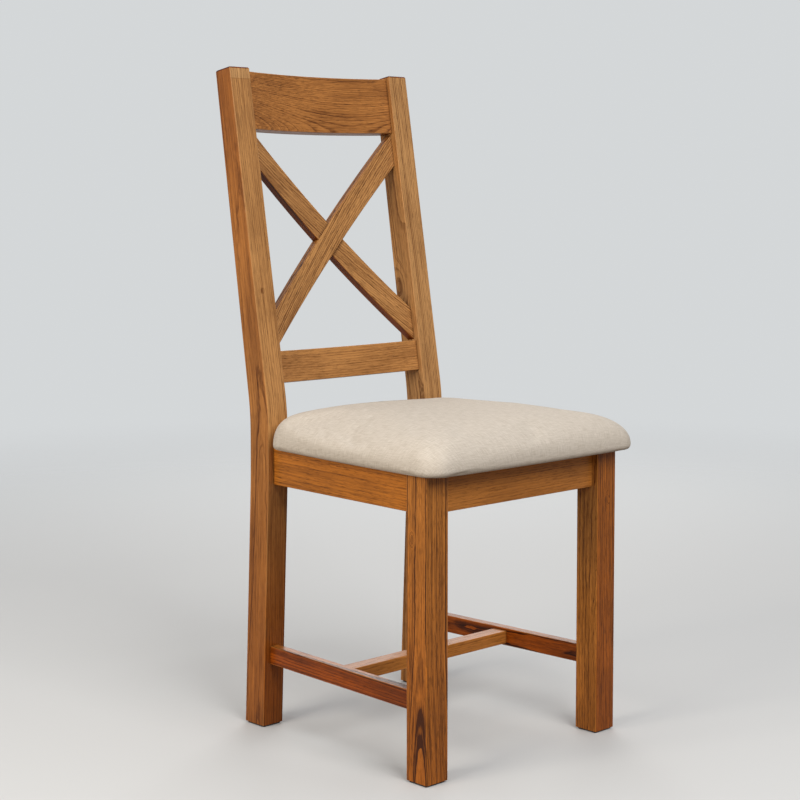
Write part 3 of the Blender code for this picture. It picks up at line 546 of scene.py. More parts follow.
front_leg(
    "right",
    slope=FLAME_SLOPE,
    stain_and_shade=NO_FACES,
    finish=oak_finish(
        "oak_leg_right", OAK_ORANGE, OAK_DEEP, pith=(0.0494, 0.009, 0.87), lean=(0.0, 0.1, 0.0),
        spacing=0.0090, wander=0.006, figure=1.7, pores=1.0, fibre=2.0,
        knot=(-0.0215, 0.009, 0.353), knot_size=0.0020, heart=0.0,
    ),
)
front_leg(
    "left",
    slope=0.0,
    stain_and_shade=(-0.2, 0.2, 0.3, 0.2),
    finish=oak_finish(
        "oak_leg_left", OAK_ORANGE, OAK_DEEP, pith=(0.05, 0.03, 2.7), lean=(1.0, 1.2, 0.0),
        spacing=0.0050, wander=0.016, figure=0.9, pores=0.9, fibre=1.6,
        knot=(-0.001, -0.021, 0.367), knot_size=0.0025, heart=0.7,
    ),
)


# Aprons. Four oak rails under the seat, set back from the legs' faces and tenoned into them. The side ones
# follow the frame's taper towards the back. The rear one lies behind the pad.
APRON_SETBACK = 0.010
APRON_THICKNESS = 0.022
APRON_STAIN = (0.05, 0.05, 0.2, 0.1)
OAK_AMBER = (0.57, 0.198, 0.026)
JOINT_GAP = 0.0003
RAIL_RINGS = 14

leg_low, leg_high = (np.array(corner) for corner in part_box("front_leg_left"))
left_post_low, left_post_high = (np.array(corner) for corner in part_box("rear_post_left"))
taper_run = left_post_low[1] - leg_high[1]
taper = (leg_high[0] - left_post_high[0]) / taper_run


def outer_line(y):
    """Half the chair's width at y, on the line that joins the outer faces of a leg and a post."""
    return leg_high[0] - taper * (y - leg_high[1])


def side_rail(name, node, side, height_low, height_high, thickness, rear_lean, finish, stain_and_shade=NO_FACES):
    """A rail on the taper, from a leg's back face to a post's front. Its rear end leans with the post."""
    middle_z = (height_low + height_high) / 2
    rear = post_face(np.array(middle_z), 0.0) if rear_lean else left_post_low[1]
    ends = between_joints(leg_high[1] + JOINT_GAP, float(rear) - JOINT_GAP, RAIL_RINGS)
    x = side * (outer_line(ends) - APRON_SETBACK - thickness / 2)
    centres = np.stack((x, ends, np.full(len(ends), middle_z)), axis=1)
    upright = np.repeat(((0.0, 0.0, 1.0),), len(ends), axis=0)
    upright[-1, 1] = -rear_lean
    half = (height_high - height_low) / 2
    joint = all_round(np.isin(ends, (ends[0], ends[-1])))
    return oak_bar(name, node, centres, (side, 0, 0), thickness / 2, upright, half, finish, joint, stain_and_shade)


def cross_rail(name, node, reach, y, depth, height_low, height_high, skew, finish):
    """A rail straight across the chair, whose ends are cut to a skew in plan."""
    x = between_joints(-reach, reach, RAIL_RINGS)
    level = np.ones(len(x))
    centres = np.stack((x, level * (y + depth / 2), level * (height_low + height_high) / 2), axis=1)
    across = np.repeat(((0.0, 1.0, 0.0),), len(x), axis=0)
    across[0, 0] = skew
    across[-1, 0] = -skew
    half_height = (height_high - height_low) / 2
    joint = all_round(np.isin(x, (-reach, reach)))
    return oak_bar(name, node, centres, across, depth / 2, (0, 0, 1), half_height, finish, joint)


apron_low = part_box("front_apron")[0].z
apron_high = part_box("front_apron")[1].z
for side_name, side, seed in (("right", -1, 4.1), ("left", 1, 5.3)):
    finish = oak_finish(
        f"oak_apron_{side_name}", OAK_AMBER, OAK_BROWN, pith=(0.07, -0.05, seed), lean=(0.6, 0.3, 0.0),
        spacing=0.0050, wander=0.009, figure=0.42, pores=0.8, fibre=1.5,
    )
    side_rail(
        f"apron_{side_name}", f"side_apron_{side_name}", side, apron_low, apron_high, APRON_THICKNESS,
        rear_lean=0.0, finish=finish, stain_and_shade=APRON_STAIN,
    )
cross_rail(
    "apron_front", "front_apron", reach=leg_low[0] - JOINT_GAP, y=leg_low[1] + APRON_SETBACK,
    depth=APRON_THICKNESS, height_low=apron_low, height_high=apron_high, skew=0.0,
    finish=oak_finish(
        "oak_apron_front", OAK_ORANGE, OAK_BROWN, pith=(0.03, 0.09, 6.2), lean=(0.5, -0.5, 0.0),
        spacing=0.0040, wander=0.008, figure=0.45, pores=0.6,
    ),
)
rear_low, rear_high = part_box("rear_apron")
cross_rail(
    "apron_rear", "rear_apron", reach=left_post_low[0] - JOINT_GAP, y=rear_low.y,
    depth=rear_high.y - rear_low.y, height_low=rear_low.z, height_high=rear_high.z, skew=0.0,
    finish=oak_finish(
        "oak_apron_rear", OAK_ORANGE, OAK_BROWN, pith=(0.05, 0.06, 7.4), lean=(0.3, 0.6, 0.0),
        spacing=0.0042, wander=0.008, figure=0.6, pores=0.7,
    ),
)


# Corner blocks. Four beech blocks, sawn across the corner and left bare, are glued into the angles under
# the seat. Two zinc-plated screws hold each to its aprons, and a longer one goes up through it into the
# seat board.
BEECH_PALE = (0.60, 0.405, 0.240, 1.0)
BEECH_DARK = (0.37, 0.215, 0.110, 1.0)
BEECH_BAND_STRETCH = (5.0, 150.0, 150.0)
BEECH_FLECK_STRETCH = (220.0, 1100.0, 1100.0)
ZINC_BRIGHT = (0.68, 0.66, 0.60, 1.0)
ZINC_DULL = (0.40, 0.39, 0.36, 1.0)
ZINC_BLOOM_STRETCH = (420.0, 420.0, 420.0)


def bare_finish(name):
    """A new material with its tree, its shader and the piece's own coordinates."""
    finish, tree, shader = new_finish(name)
    return finish, tree, shader, put(tree, "ShaderNodeTexCoord", {}).outputs["Object"]


def beech(name, turn):
    """Bare beech whose grain is turned in plan: slow bands, and short dark flecks along them."""
    finish, tree, shader, place = bare_finish(name)
    grain = put(tree, "ShaderNodeMapping", {"Vector": place, "Rotation": (0.0, 0.0, turn)}).outputs[0]
    bands = remap(tree, noise(tree, grain, BEECH_BAND_STRETCH, 3.0).outputs[0], 0.32, 0.72)
    flecks = remap(tree, noise(tree, grain, BEECH_FLECK_STRETCH).outputs[0], 0.56, 0.66)
    tone = calc(tree, "MULTIPLY_ADD", flecks, 0.55, calc(tree, "MULTIPLY", bands, 0.6))
    colour = blend(tree, tone, BEECH_PALE, BEECH_DARK)
    roughness = remap(tree, bands, 0.0, 1.0, 0.55, 0.7)
    lay_on(tree, shader, colour, roughness, tone, strength=0.2, distance=0.0003)
    return finish


def zinc():
    """Zinc plating: bright metal with patches of dull bloom."""
    finish, tree, shader, place = bare_finish("zinc_plate")
    bloom = remap(tree, noise(tree, place, ZINC_BLOOM_STRETCH, 3.0).outputs[0], 0.35, 0.65)
    tree.links.new(blend(tree, bloom, ZINC_BRIGHT, ZINC_DULL), shader.inputs["Base Color"])
    tree.links.new(remap(tree, bloom, 0.0, 1.0, 0.28, 0.5), shader.inputs["Roughness"])
    shader.inputs["Metallic"].default_value = 1.0
    return finish


def dress(finish, *nodes):
    """Gives a finish to CAD pieces that show in their own shape."""
    for node in nodes:
        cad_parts[node].material_slots[0].material = finish


dress(beech("beech_rising", math.radians(-45)), "corner_block_front_left", "corner_block_rear_right")
dress(beech("beech_falling", math.radians(45)), "corner_block_front_right", "corner_block_rear_left")
corners = [f"{end}_{side_name}" for end in ("front", "rear") for side_name in ("right", "left")]
zinc_plate = zinc()
for corner in corners:
    dress(zinc_plate, f"corner_screw_{corner}_1", f"corner_screw_{corner}_2", f"seat_screw_{corner}")


# Stretchers. An H of thin oak rails near the floor: one on each side from leg to post, and one across
# between them, tenoned into their inner faces.
STRETCHER_THICKNESS = 0.017
# The stretchers are darkened all round and least on top: partly stain, partly painted shade low by the floor.
STRETCHER_STAIN_AND_SHADE = (0.9, 1.0, 0.6, 0.2)

stretcher_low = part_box("side_stretcher_right")[0].z
stretcher_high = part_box("side_stretcher_right")[1].z
for side_name, side, pith, lean, wander in (
    ("right", -1, (0.01, 0.05, 8.2), (0.6, 0.8, 0.0), 0.006),
    ("left", 1, (0.04, 0.0, 9.6), (0.0, 1.5, 0.0), 0.012),
):
    finish = oak_finish(
        f"oak_stretcher_{side_name}", OAK_ORANGE, OAK_DEEP, pith=pith, lean=lean,
        spacing=0.0044, wander=wander, figure=1.2, pores=0.9,
    )
    side_rail(
        f"stretcher_{side_name}", f"side_stretcher_{side_name}", side, stretcher_low, stretcher_high,
        STRETCHER_THICKNESS, rear_lean=POST_SPLAY / POST_SPLAY_TOP, finish=finish, stain_and_shade=STRETCHER_STAIN_AND_SHADE,
    )
cross_low, cross_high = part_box("cross_stretcher")
cross_middle = (cross_low.y + cross_high.y) / 2
cross_rail(
    "stretcher_cross", "cross_stretcher",
    reach=outer_line(cross_middle) - APRON_SETBACK - STRETCHER_THICKNESS - JOINT_GAP,
    y=cross_low.y, depth=cross_high.y - cross_low.y, height_low=cross_low.z, height_high=cross_high.z,
    skew=taper,
    finish=oak_finish(
        "oak_stretcher_cross", OAK_ORANGE, OAK_BROWN, pith=(0.04, 0.05, 3.1), lean=(0.4, 0.4, 0.0),
        spacing=0.0042, wander=0.006, figure=0.5, pores=0.6,
    ),
)


# Back rails. The wide top rail and the narrow lower rail are sawn to one gentle bow, so that the back
# curves round the sitter, and are tenoned into the posts a little behind their front faces.
BACK_SETBACK = 0.007
BACK_THICKNESS = 0.024
BACK_BOW = 0.013
TOP_RAIL_HEIGHT = 0.0935
TOP_RAIL_DROP = 0.005
LOWER_RAIL_START = 0.0465
LOWER_RAIL_HEIGHT = 0.0505
BACK_RINGS = 33
# The rails are stained all round, and their undersides darkest, a painted shade under each rail.
TOP_RAIL_STAIN_AND_SHADE = (0.5, 0.4, 0.6, 0.5)
LOWER_RAIL_STAIN_AND_SHADE = (0.2, 0.2, 0.6, 0.4)

back_reach = left_post_low[0] - JOINT_GAP
post_length = (cad_box[1][2] - POST_KNEE) / math.cos(POST_RAKE)


def back_point(x, up, depth):
    """Points of the back: up the rake from the knee, and behind the posts' front faces."""
    y = post_front + up * math.sin(POST_RAKE) + depth * math.cos(POST_RAKE)
    z = POST_KNEE + up * math.cos(POST_RAKE) - depth * math.sin(POST_RAKE)
    return np.stack(np.broadcast_arrays(x, y, z), axis=-1)


def bow(x):
    """How far the back lies behind its ends: a parabola across the gap between the posts."""
    return BACK_BOW * (1 - (x / left_post_low[0]) ** 2)


def back_rail(name, node, low, high, stain_and_shade, finish):
    """A rail on the bow: an eased rectangle carried across the back."""
    x = between_joints(-back_reach, back_reach, BACK_RINGS)
    level = np.ones(len(x))
    u, v, arris, facing = eased_section(level * BACK_THICKNESS / 2, level * (high - low) / 2, OAK_EASE)
    depth = BACK_SETBACK + BACK_THICKNESS / 2 + bow(x)[:, None] + u
    points = back_point(x[:, None], (low + high) / 2 + v, depth)
    grain = np.stack(np.broadcast_arrays(u + bow(x)[:, None], v, x[:, None]), axis=-1)
    joint = np.isin(x, (-back_reach, back_reach))[:, None]
    masks = {"arris": arris, "joint": joint, "stain_and_shade": face_share(facing, stain_and_shade)}
    return oak_piece(name, node, points, grain, masks, finish)


top_rail_high = post_length - TOP_RAIL_DROP
back_rail(
    "rail_top", "top_rail", low=top_rail_high - TOP_RAIL_HEIGHT, high=top_rail_high, stain_and_shade=TOP_RAIL_STAIN_AND_SHADE,
    finish=oak_finish(
        "oak_rail_top", OAK_GOLD, OAK_BROWN, pith=(0.050, 0.048, 1.2), lean=(0.0, 4.5, 0.0),
        spacing=0.0025, wander=0.006, figure=0.75, pores=0.8, fibre=1.5,
    ),
)
lower_rail_high = LOWER_RAIL_START + LOWER_RAIL_HEIGHT
back_rail(
    "rail_lower", "lower_back_rail", low=LOWER_RAIL_START, high=lower_rail_high, stain_and_shade=LOWER_RAIL_STAIN_AND_SHADE,
    finish=oak_finish(
        "oak_rail_lower", OAK_GOLD, OAK_BROWN, pith=(0.02, 0.10, 2.2), lean=(0.4, 0.5, 0.0),
        spacing=0.0040, wander=0.004, figure=0.4, pores=0.6,
    ),
)


# Cross braces. Two oak slats on the back's bow, stub-tenoned into the posts and half-lapped where they
# cross, so that their faces lie flush. The one that rises towards the sitter's left runs unbroken in front.
BRACE_WIDTH = 0.038
BRACE_THICKNESS = 0.016
BRACE_CORNER_GAP = 0.0025
BRACE_ARM_RINGS = 13
BRACE_LAP_RINGS = 5
# The lower edge of each brace is darkened far the most, as painted shade under it; the rest is stain.
BRACE_STAIN_AND_SHADE = (0.05, 0.2, 1.5, 0.5)

brace_middle = (lower_rail_high + top_rail_high - TOP_RAIL_HEIGHT) / 2
brace_rise = (top_rail_high - TOP_RAIL_HEIGHT - lower_rail_high) / 2 - BRACE_CORNER_GAP
brace_diagonal = math.hypot(back_reach, brace_rise)
brace_angle = math.asin(brace_rise / brace_diagonal) - math.asin(BRACE_WIDTH / 2 / brace_diagonal)


def cross_brace(name, node, sign, lap_from, slant, finish):
    """A brace: an eased rectangle carried from post to post, with half its thickness taken away at the lap.

    Each ring leans in the plane of the back, upright at the posts and along the other brace at the lap: its
    point is the middle line's point + v * lean, where every lean reaches one unit across the brace. The
    grain runs at a slant across the wide faces and along the edges.
    """
    slope = sign * brace_angle
    half_width = BRACE_WIDTH / 2
    lap = (half_width + JOINT_GAP) / math.sin(2 * brace_angle) * math.cos(brace_angle)
    arm = between_joints(lap, back_reach, BRACE_ARM_RINGS)
    inner = np.linspace(-lap, lap, BRACE_LAP_RINGS)
    x = np.concatenate((-arm[::-1], inner, arm))
    is_lap = np.isin(np.arange(len(x)), np.arange(len(arm), len(arm) + len(inner)))
    upright_share = np.clip((np.abs(x) - lap) / (back_reach - lap), 0, 1)
    lean_x = -(1 - upright_share) / (2 * math.sin(slope))
    lean_up = (1 - upright_share) / (2 * math.cos(slope)) + upright_share / math.cos(slope)
    half_depth = np.where(is_lap, (BRACE_THICKNESS - JOINT_GAP) / 4, BRACE_THICKNESS / 2)
    depth_middle = np.where(is_lap, lap_from + BRACE_THICKNESS / 4, BRACE_THICKNESS / 2)
    u, v, arris, facing = eased_section(half_depth, np.full(len(x), half_width), OAK_EASE)
    point_x = x[:, None] + v * lean_x[:, None]
    point_up = x[:, None] * math.tan(slope) + v * lean_up[:, None]
    setback = BACK_SETBACK + (BACK_THICKNESS - BRACE_THICKNESS) / 2
    depth = setback + bow(point_x) + depth_middle[:, None] + u
    points = back_point(point_x, brace_middle + point_up, depth)
    along = point_x * math.cos(slope) + point_up * math.sin(slope)
    slanted = v - along * math.tan(slant) * face_share(facing, (1, 1, 0, 0))
    grain = np.stack((depth_middle[:, None] + u - BRACE_THICKNESS / 2, slanted, along), axis=-1)
    cut_side = -1 if lap_from else 1
    at_lap = (np.abs(x) == lap) & ~is_lap
    joint = np.isin(np.abs(x), (back_reach,))[:, None] | at_lap[:, None] & (u * cut_side > 0)
    masks = {"arris": arris, "joint": joint, "stain_and_shade": face_share(facing, BRACE_STAIN_AND_SHADE)}
    return oak_piece(name, node, points, grain, masks, finish)


cross_brace(
    "brace_front", "cross_brace_front", sign=1, lap_from=0.0, slant=math.radians(5),
    finish=oak_finish(
        "oak_brace_front", OAK_GOLD, OAK_BROWN, pith=(0.030, 0.09, 3.3), lean=(0.0, 0.5, 0.0),
        spacing=0.0036, wander=0.012, figure=1.2, pores=1.0, fibre=1.6,
    ),
)
cross_brace(
    "brace_back", "cross_brace_back", sign=-1, lap_from=BRACE_THICKNESS / 2, slant=math.radians(6),
    finish=oak_finish(
        "oak_brace_back", OAK_GOLD, OAK_BROWN, pith=(0.030, -0.045, 0.7), lean=(0.0, 0.5, 0.0),
        spacing=0.0036, wander=0.016, figure=1.2, pores=1.0, fibre=1.6,
    ),
)


# Seat board and dust cover. A birch plywood panel carries the pad and is screwed down through the corner
# blocks. Black non-woven cloth is stapled under it, inside the cover's hem.
PLY_LAYER = 0.00143
PLY_PALE = (0.62, 0.455, 0.270, 1.0)
PLY_DARK = (0.40, 0.262, 0.135, 1.0)
PLY_FIGURE_STRETCH = (60.0, 4.0, 60.0)
DUST_BLACK = (0.010, 0.010, 0.011, 1.0)
DUST_GREY = (0.034, 0.034, 0.036, 1.0)
DUST_PITCH = 0.0022
DUST_FIBRE_STRETCH = (900.0, 260.0, 900.0)


def plywood():
    """Plywood: veneers of two tones stacked in height, with a figure of noise drawn out along the grain."""
    finish, tree, shader, place = bare_finish("plywood_birch")
    height = put(tree, "ShaderNodeSeparateXYZ", {0: place}).outputs["Z"]
    layer = calc(tree, "FRACT", calc(tree, "DIVIDE", height, 2 * PLY_LAYER))
    layer = remap(tree, layer, 0.46, 0.54, 0.0, 0.55)
    figure = remap(tree, noise(tree, place, PLY_FIGURE_STRETCH, 3.0).outputs[0], 0.3, 0.7, 0.0, 0.45)
    tone = calc(tree, "ADD", layer, figure)
    tree.links.new(blend(tree, tone, PLY_PALE, PLY_DARK), shader.inputs["Base Color"])
    tree.links.new(remap(tree, figure, 0.0, 0.45, 0.6, 0.75), shader.inputs["Roughness"])
    return finish


def dust_cloth():
    """Non-woven cloth: matted fibres of noise, pressed flat in a close diagonal pattern of dots."""
    finish, tree, shader, place = bare_finish("dust_cloth_black")
    axes = put(tree, "ShaderNodeSeparateXYZ", {0: place}).outputs
    turn = 2 * math.pi / DUST_PITCH
    along = calc(tree, "SINE", calc(tree, "MULTIPLY", calc(tree, "ADD", axes[0], axes[1]), turn))
    across = calc(tree, "SINE", calc(tree, "MULTIPLY", calc(tree, "SUBTRACT", axes[0], axes[1]), turn))
    dots = remap(tree, calc(tree, "MULTIPLY", along, across), 0.3, 0.7)
    fibres = remap(tree, noise(tree, place, DUST_FIBRE_STRETCH, 4.0, 0.7).outputs[0], 0.35, 0.65)
    tone = calc(tree, "MULTIPLY_ADD", dots, -0.5, fibres)
    colour = blend(tree, tone, DUST_BLACK, DUST_GREY)
    roughness = remap(tree, dots, 0.0, 1.0, 0.95, 0.7)
    lay_on(tree, shader, colour, roughness, tone, strength=0.4, distance=0.0002)
    return finish


dress(plywood(), "seat_board")
dress(dust_cloth(), "dust_cover")


# Seat pad. Foam on a plywood board, wrapped in cream linen that is pulled round the edges and stapled
# under. It is crowned, overhangs the frame at the front and sides, and butts against the posts. The cover
# is swelled as cloth under the foam's pressure, with its stapled edge held.
PAD_FRONT_HALF = 0.2302
PAD_REAR_HALF = 0.1975
PAD_CORNER = 0.036
PAD_CORNER_LEAST = 0.004
PAD_ARC_POINTS = 13
PAD_SIDE_POINTS = 41
PAD_EDGE_BOW = 0.003
PAD_REAR_BULGE = 0.003
PAD_REAR_BOW = 0.009
PAD_REAR_TUCK = 0.3
PAD_TUCK = 0.007
PAD_WIDEST = 0.0085
PAD_CROWN = 0.0517
PAD_FRONT_FALL = 0.0095
PAD_REAR_RISE = (0.0205, -0.002)
PAD_DOME_POWER = 7.2
PAD_EDGE_POWER = 2.1
PAD_HEM = 0.034
PAD_RECESS = 0.004
PAD_CELLS = 64
PAD_BEND_RINGS = 8
PAD_WALK_STEPS = 200
PAD_SWELL = 0.014
PAD_REAR_HOLD = 0.030
PAD_PRESSURE = 0.7
PAD_STIFFNESS = 40.0
PAD_STAPLE_EVERY = 2
PAD_STEPS = 20
LINEN_PITCH = 0.0011
LINEN_PALE = (0.650, 0.580, 0.498)
LINEN_FLECK = (0.470, 0.402, 0.322)
LINEN_WARP_STRETCH = (680.0, 60.0, 1.0)
LINEN_WEFT_STRETCH = (60.0, 680.0, 1.0)
LINEN_ROUGHNESS = 0.95
LINEN_SPECULAR = 0.15

pad_low, pad_high = (np.array(corner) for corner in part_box("seat_cover"))
pad_front = pad_low[1] + PAD_EDGE_BOW
pad_rear = pad_high[1]
pad_centre = np.array((0.0, (pad_front + pad_rear) / 2))
post_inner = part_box("rear_post_left")[0][0]


def pad_outline(turn, inset):
    """Plan points of the pad at a turn from 0 to 4, a quarter to each side, drawn in by an inset.

    The four corners are rounded by arcs, the front and sides swell by a parabola, and a whole turn falls on
    the middle of a corner.
    """
    corners = np.array(
        (
            (-PAD_FRONT_HALF + inset, pad_front + inset),
            (PAD_FRONT_HALF - inset, pad_front + inset),
            (PAD_REAR_HALF - inset, pad_rear - inset),
            (-PAD_REAR_HALF - PAD_REAR_BULGE + inset, pad_rear - inset),
        )
    )
    radius = max(PAD_CORNER - inset, PAD_CORNER_LEAST)
    to_last = np.roll(corners, 1, axis=0) - corners
    to_next = np.roll(corners, -1, axis=0) - corners
    to_last /= np.linalg.norm(to_last, axis=1)[:, None]
    to_next /= np.linalg.norm(to_next, axis=1)[:, None]
    half = np.arccos((to_last * to_next).sum(axis=1)) / 2
    bisector = (to_last + to_next) / (2 * np.cos(half))[:, None]
    centres = corners + bisector * (radius / np.sin(half))[:, None]
    spread = np.pi / 2 - half
    toward = np.arctan2(-bisector[:, 1], -bisector[:, 0])
    share = np.linspace(0, 1, PAD_ARC_POINTS)
    lines = []
    for side in range(4):
        after = (side + 1) % 4
        leave = toward[side] + share * spread[side]
        arrive = toward[after] - (1 - share) * spread[after]
        first = centres[side] + radius * np.stack((np.cos(leave), np.sin(leave)), axis=1)
        last = centres[after] + radius * np.stack((np.cos(arrive), np.sin(arrive)), axis=1)
        run = np.linspace(0, 1, PAD_SIDE_POINTS)[1:-1, None]
        outward = np.array((to_next[side][1], -to_next[side][0]))
        swell = 0.0 if side == 2 else PAD_EDGE_BOW
        straight = first[-1] + run * (last[0] - first[-1]) + outward * swell * 4 * run * (1 - run)
        line = np.concatenate((first, straight, last))
        length = np.concatenate(((0.0,), np.cumsum(np.linalg.norm(np.diff(line, axis=0), axis=1))))
        lines.append((side + length / length[-1], line))
    at = np.concatenate([turns[:-1] for turns, _ in lines] + [(4.0,)])
    line = np.concatenate([points[:-1] for _, points in lines] + [lines[0][1][:1]])
    return np.stack((np.interp(turn, at, line[:, 0]), np.interp(turn, at, line[:, 1])), axis=-1)


def pad_height(points, share):
    """Height of the crowned top above its widest line at a share of the way out from the middle.

    It is crown * (1 - share ** dome power) ** (1 / edge power). The crown falls towards the front corners
    and rises towards the rear ones.
    """
    along = (points[..., 1] - pad_centre[1]) / ((pad_rear - pad_front) / 2)
    half_width = PAD_FRONT_HALF + (along + 1) / 2 * (PAD_REAR_HALF - PAD_FRONT_HALF)
    corner = np.abs(points[..., 0] / half_width * along) ** 3
    rear_rise = np.where(points[..., 0] < 0, *PAD_REAR_RISE)
    crown = PAD_CROWN + corner * np.where(along < 0, -PAD_FRONT_FALL, rear_rise)
    return crown * np.clip(1 - share**PAD_DOME_POWER, 0, 1) ** (1 / PAD_EDGE_POWER)


def pad_mesh():
    """Mesh of the pad: a square grid pulled to the outline on top, rings round the edge, and a grid below.

    A grid point's turn follows the square's edge, and its share is 1 - (1 - s) ** 2 for a distance s from
    the middle, so rows crowd towards the edge. The underside has a hem and a shallow recess for the board.
    Low down, the rear swells between the posts by a smooth step, onto the rear apron. The cloth attribute
    is the plan, stretched outwards from the middle by the length of cloth that the crown takes up.
    """
    line = np.linspace(-1, 1, PAD_CELLS + 1)
    grid = np.stack(np.meshgrid(line, line, indexing="ij"))
    reach = np.abs(grid).max(axis=0)
    right, back = grid / np.where(reach == 0, 1.0, reach)
    turn = np.select(
        (back <= -1, right >= 1, back >= 1, right <= -1),
        ((right + 1) / 2, 1 + (back + 1) / 2, 2 + (1 - right) / 2, 3 + (1 - back) / 2),
        0.0,
    )
    share = 1 - (1 - reach) ** 2
    plan = pad_centre + share[..., None] * (pad_outline(turn, 0.0) - pad_centre)
    bottom = pad_low[2]
    top_height = bottom + PAD_WIDEST + pad_height(plan, share)
    top = np.column_stack((plan.reshape(-1, 2), top_height.ravel()))
    index = np.arange((PAD_CELLS + 1) ** 2).reshape(PAD_CELLS + 1, PAD_CELLS + 1)
    cells = (index[:-1, :-1], index[1:, :-1], index[1:, 1:], index[:-1, 1:])
    quads = [np.stack(cells, axis=-1).reshape(-1, 4)]
    rim = np.concatenate((index[:-1, 0], index[-1, :-1], index[:0:-1, -1], index[0, :0:-1]))
    rim_turn = np.arange(4 * PAD_CELLS) / PAD_CELLS
    bend = np.linspace(0, np.pi / 2, PAD_BEND_RINGS)[1:]
    hem_inset = PAD_TUCK + PAD_HEM * np.array((0.5, 1, 1))
    hem_height = bottom + PAD_RECESS * np.array((0, 0, 1))
    insets = np.concatenate((PAD_TUCK * (1 - np.cos(bend)), hem_inset))
    heights = np.concatenate((bottom + PAD_WIDEST * (1 - np.sin(bend)), hem_height))
    rear_share = np.clip((plan.reshape(-1, 2)[rim, 1] - pad_rear) / PAD_REAR_HOLD + 1, 0, 1)[:, None]
    rings = []
    for inset, z in zip(insets, heights):
        drawn = pad_outline(rim_turn, inset)
        square = pad_outline(rim_turn, inset - (1 - PAD_REAR_TUCK) * min(inset, PAD_TUCK))
        rings.append(np.column_stack((drawn + rear_share * (square - drawn), np.full(len(rim), z))))
    under_plan = pad_centre + reach[..., None] * (pad_outline(turn, PAD_TUCK + 2 * PAD_HEM) - pad_centre)
    under = np.column_stack((under_plan.reshape(-1, 2), np.full(len(top), bottom + PAD_RECESS)))
    under_index = len(top) + len(rim) * len(insets) + index
    ring_rows = len(top) + np.arange(len(rim) * len(insets)).reshape(len(insets), -1)
    rows = np.concatenate((rim[None], ring_rows, rim[None] + under_index[0, 0]))
    beside = np.roll(rows, -1, axis=1)
    quads.append(np.stack((rows[:-1], rows[1:], beside[1:], beside[:-1]), axis=-1).reshape(-1, 4))
    quads.append(quads[0][:, ::-1] + under_index[0, 0])
    points = np.concatenate([top, *rings, under])
    between = np.clip((post_inner - np.abs(points[:, 0])) / PAD_REAR_HOLD, 0, 1)
    behind = np.clip((points[:, 1] - pad_rear) / PAD_REAR_HOLD + 1, 0, 1)
    lowness = np.clip(1 - (points[:, 2] - bottom - PAD_WIDEST) / PAD_REAR_HOLD, 0, 1)
    points[:, 1] += PAD_REAR_BOW * between**2 * (3 - 2 * between) * behind * lowness
    mesh = bpy.data.meshes.new("seat_pad")
    mesh.from_pydata(points.tolist(), [], np.concatenate(quads).tolist())

    steps = np.linspace(0, 1, PAD_WALK_STEPS)
    rise = PAD_CROWN * np.clip(1 - steps**PAD_DOME_POWER, 0, 1) ** (1 / PAD_EDGE_POWER)
    walked = np.concatenate(((0.0,), np.cumsum(np.hypot(np.diff(steps) * PAD_REAR_HALF, np.diff(rise)))))
    stretch = np.interp(share.ravel(), steps, walked) / np.maximum(share.ravel() * PAD_REAR_HALF, 1e-6)
    cloth_top = (plan.reshape(-1, 2) - pad_centre) * np.where(share.ravel() > 0, stretch, 1.0)[:, None]
    cloth = [np.column_stack((cloth_top, np.zeros(len(top))))]
    edge = cloth_top[rim]
    outward = edge / np.linalg.norm(edge, axis=1)[:, None]
    fall = np.diff(heights, prepend=bottom + PAD_WIDEST)
    travelled = np.cumsum(np.hypot(np.diff(insets, prepend=0.0), fall))
    cloth += [np.column_stack((edge + outward * far, np.zeros(len(edge)))) for far in travelled]
    cloth.append(np.column_stack((under_plan.reshape(-1, 2), np.zeros(len(top)))))
    placed = np.concatenate(cloth).astype(np.float32)
    mesh.attributes.new("cloth", "FLOAT_VECTOR", "POINT").data.foreach_set("vector", placed.ravel())
    stapled = rows[len(bend), ::PAD_STAPLE_EVERY]
    return mesh, np.concatenate((stapled, rows[len(bend) + 1 : -1].ravel(), under_index.ravel()))


def puffed(piece, stapled):
    """Runs the cover as cloth under pressure, its stapled points held, then moves each point.

    A point moves up to its cap, which is the swell, less and less over the hold at the rear edge.
    """
    mesh = piece.data
    rest = np.empty(len(mesh.vertices) * 3)
    mesh.vertices.foreach_get("co", rest)
    rest = rest.reshape(-1, 3)
    piece.vertex_groups.new(name="stapled").add(stapled.tolist(), 1.0, "REPLACE")
    cloth = piece.modifiers.new("swell", "CLOTH")
    cloth.settings.use_pressure = True
    cloth.settings.uniform_pressure_force = PAD_PRESSURE
    cloth.settings.tension_stiffness = PAD_STIFFNESS
    cloth.settings.compression_stiffness = PAD_STIFFNESS
    cloth.settings.shear_stiffness = PAD_STIFFNESS / 2
    cloth.settings.vertex_group_mass = "stapled"
    cloth.settings.effector_weights.gravity = 0.0
    cloth.point_cache.frame_start = 1
    cloth.point_cache.frame_end = PAD_STEPS
    for step in range(1, PAD_STEPS + 1):
        bpy.context.scene.frame_set(step)
    swollen = np.empty(len(rest) * 3)
    piece.evaluated_get(bpy.context.evaluated_depsgraph_get()).data.vertices.foreach_get("co", swollen)
    move = swollen.reshape(-1, 3) - rest
    far = np.linalg.norm(move, axis=1)
    caps = PAD_SWELL * np.clip((pad_rear - rest[:, 1]) / PAD_REAR_HOLD, 0, 1)
    move *= np.minimum(1.0, caps / np.maximum(far, 1e-9))[:, None]
    piece.modifiers.remove(cloth)
    piece.vertex_groups.clear()
    bpy.context.scene.frame_set(1)
    mesh.vertices.foreach_set("co", (rest + move).astype(np.float32).ravel())
    mesh.update()


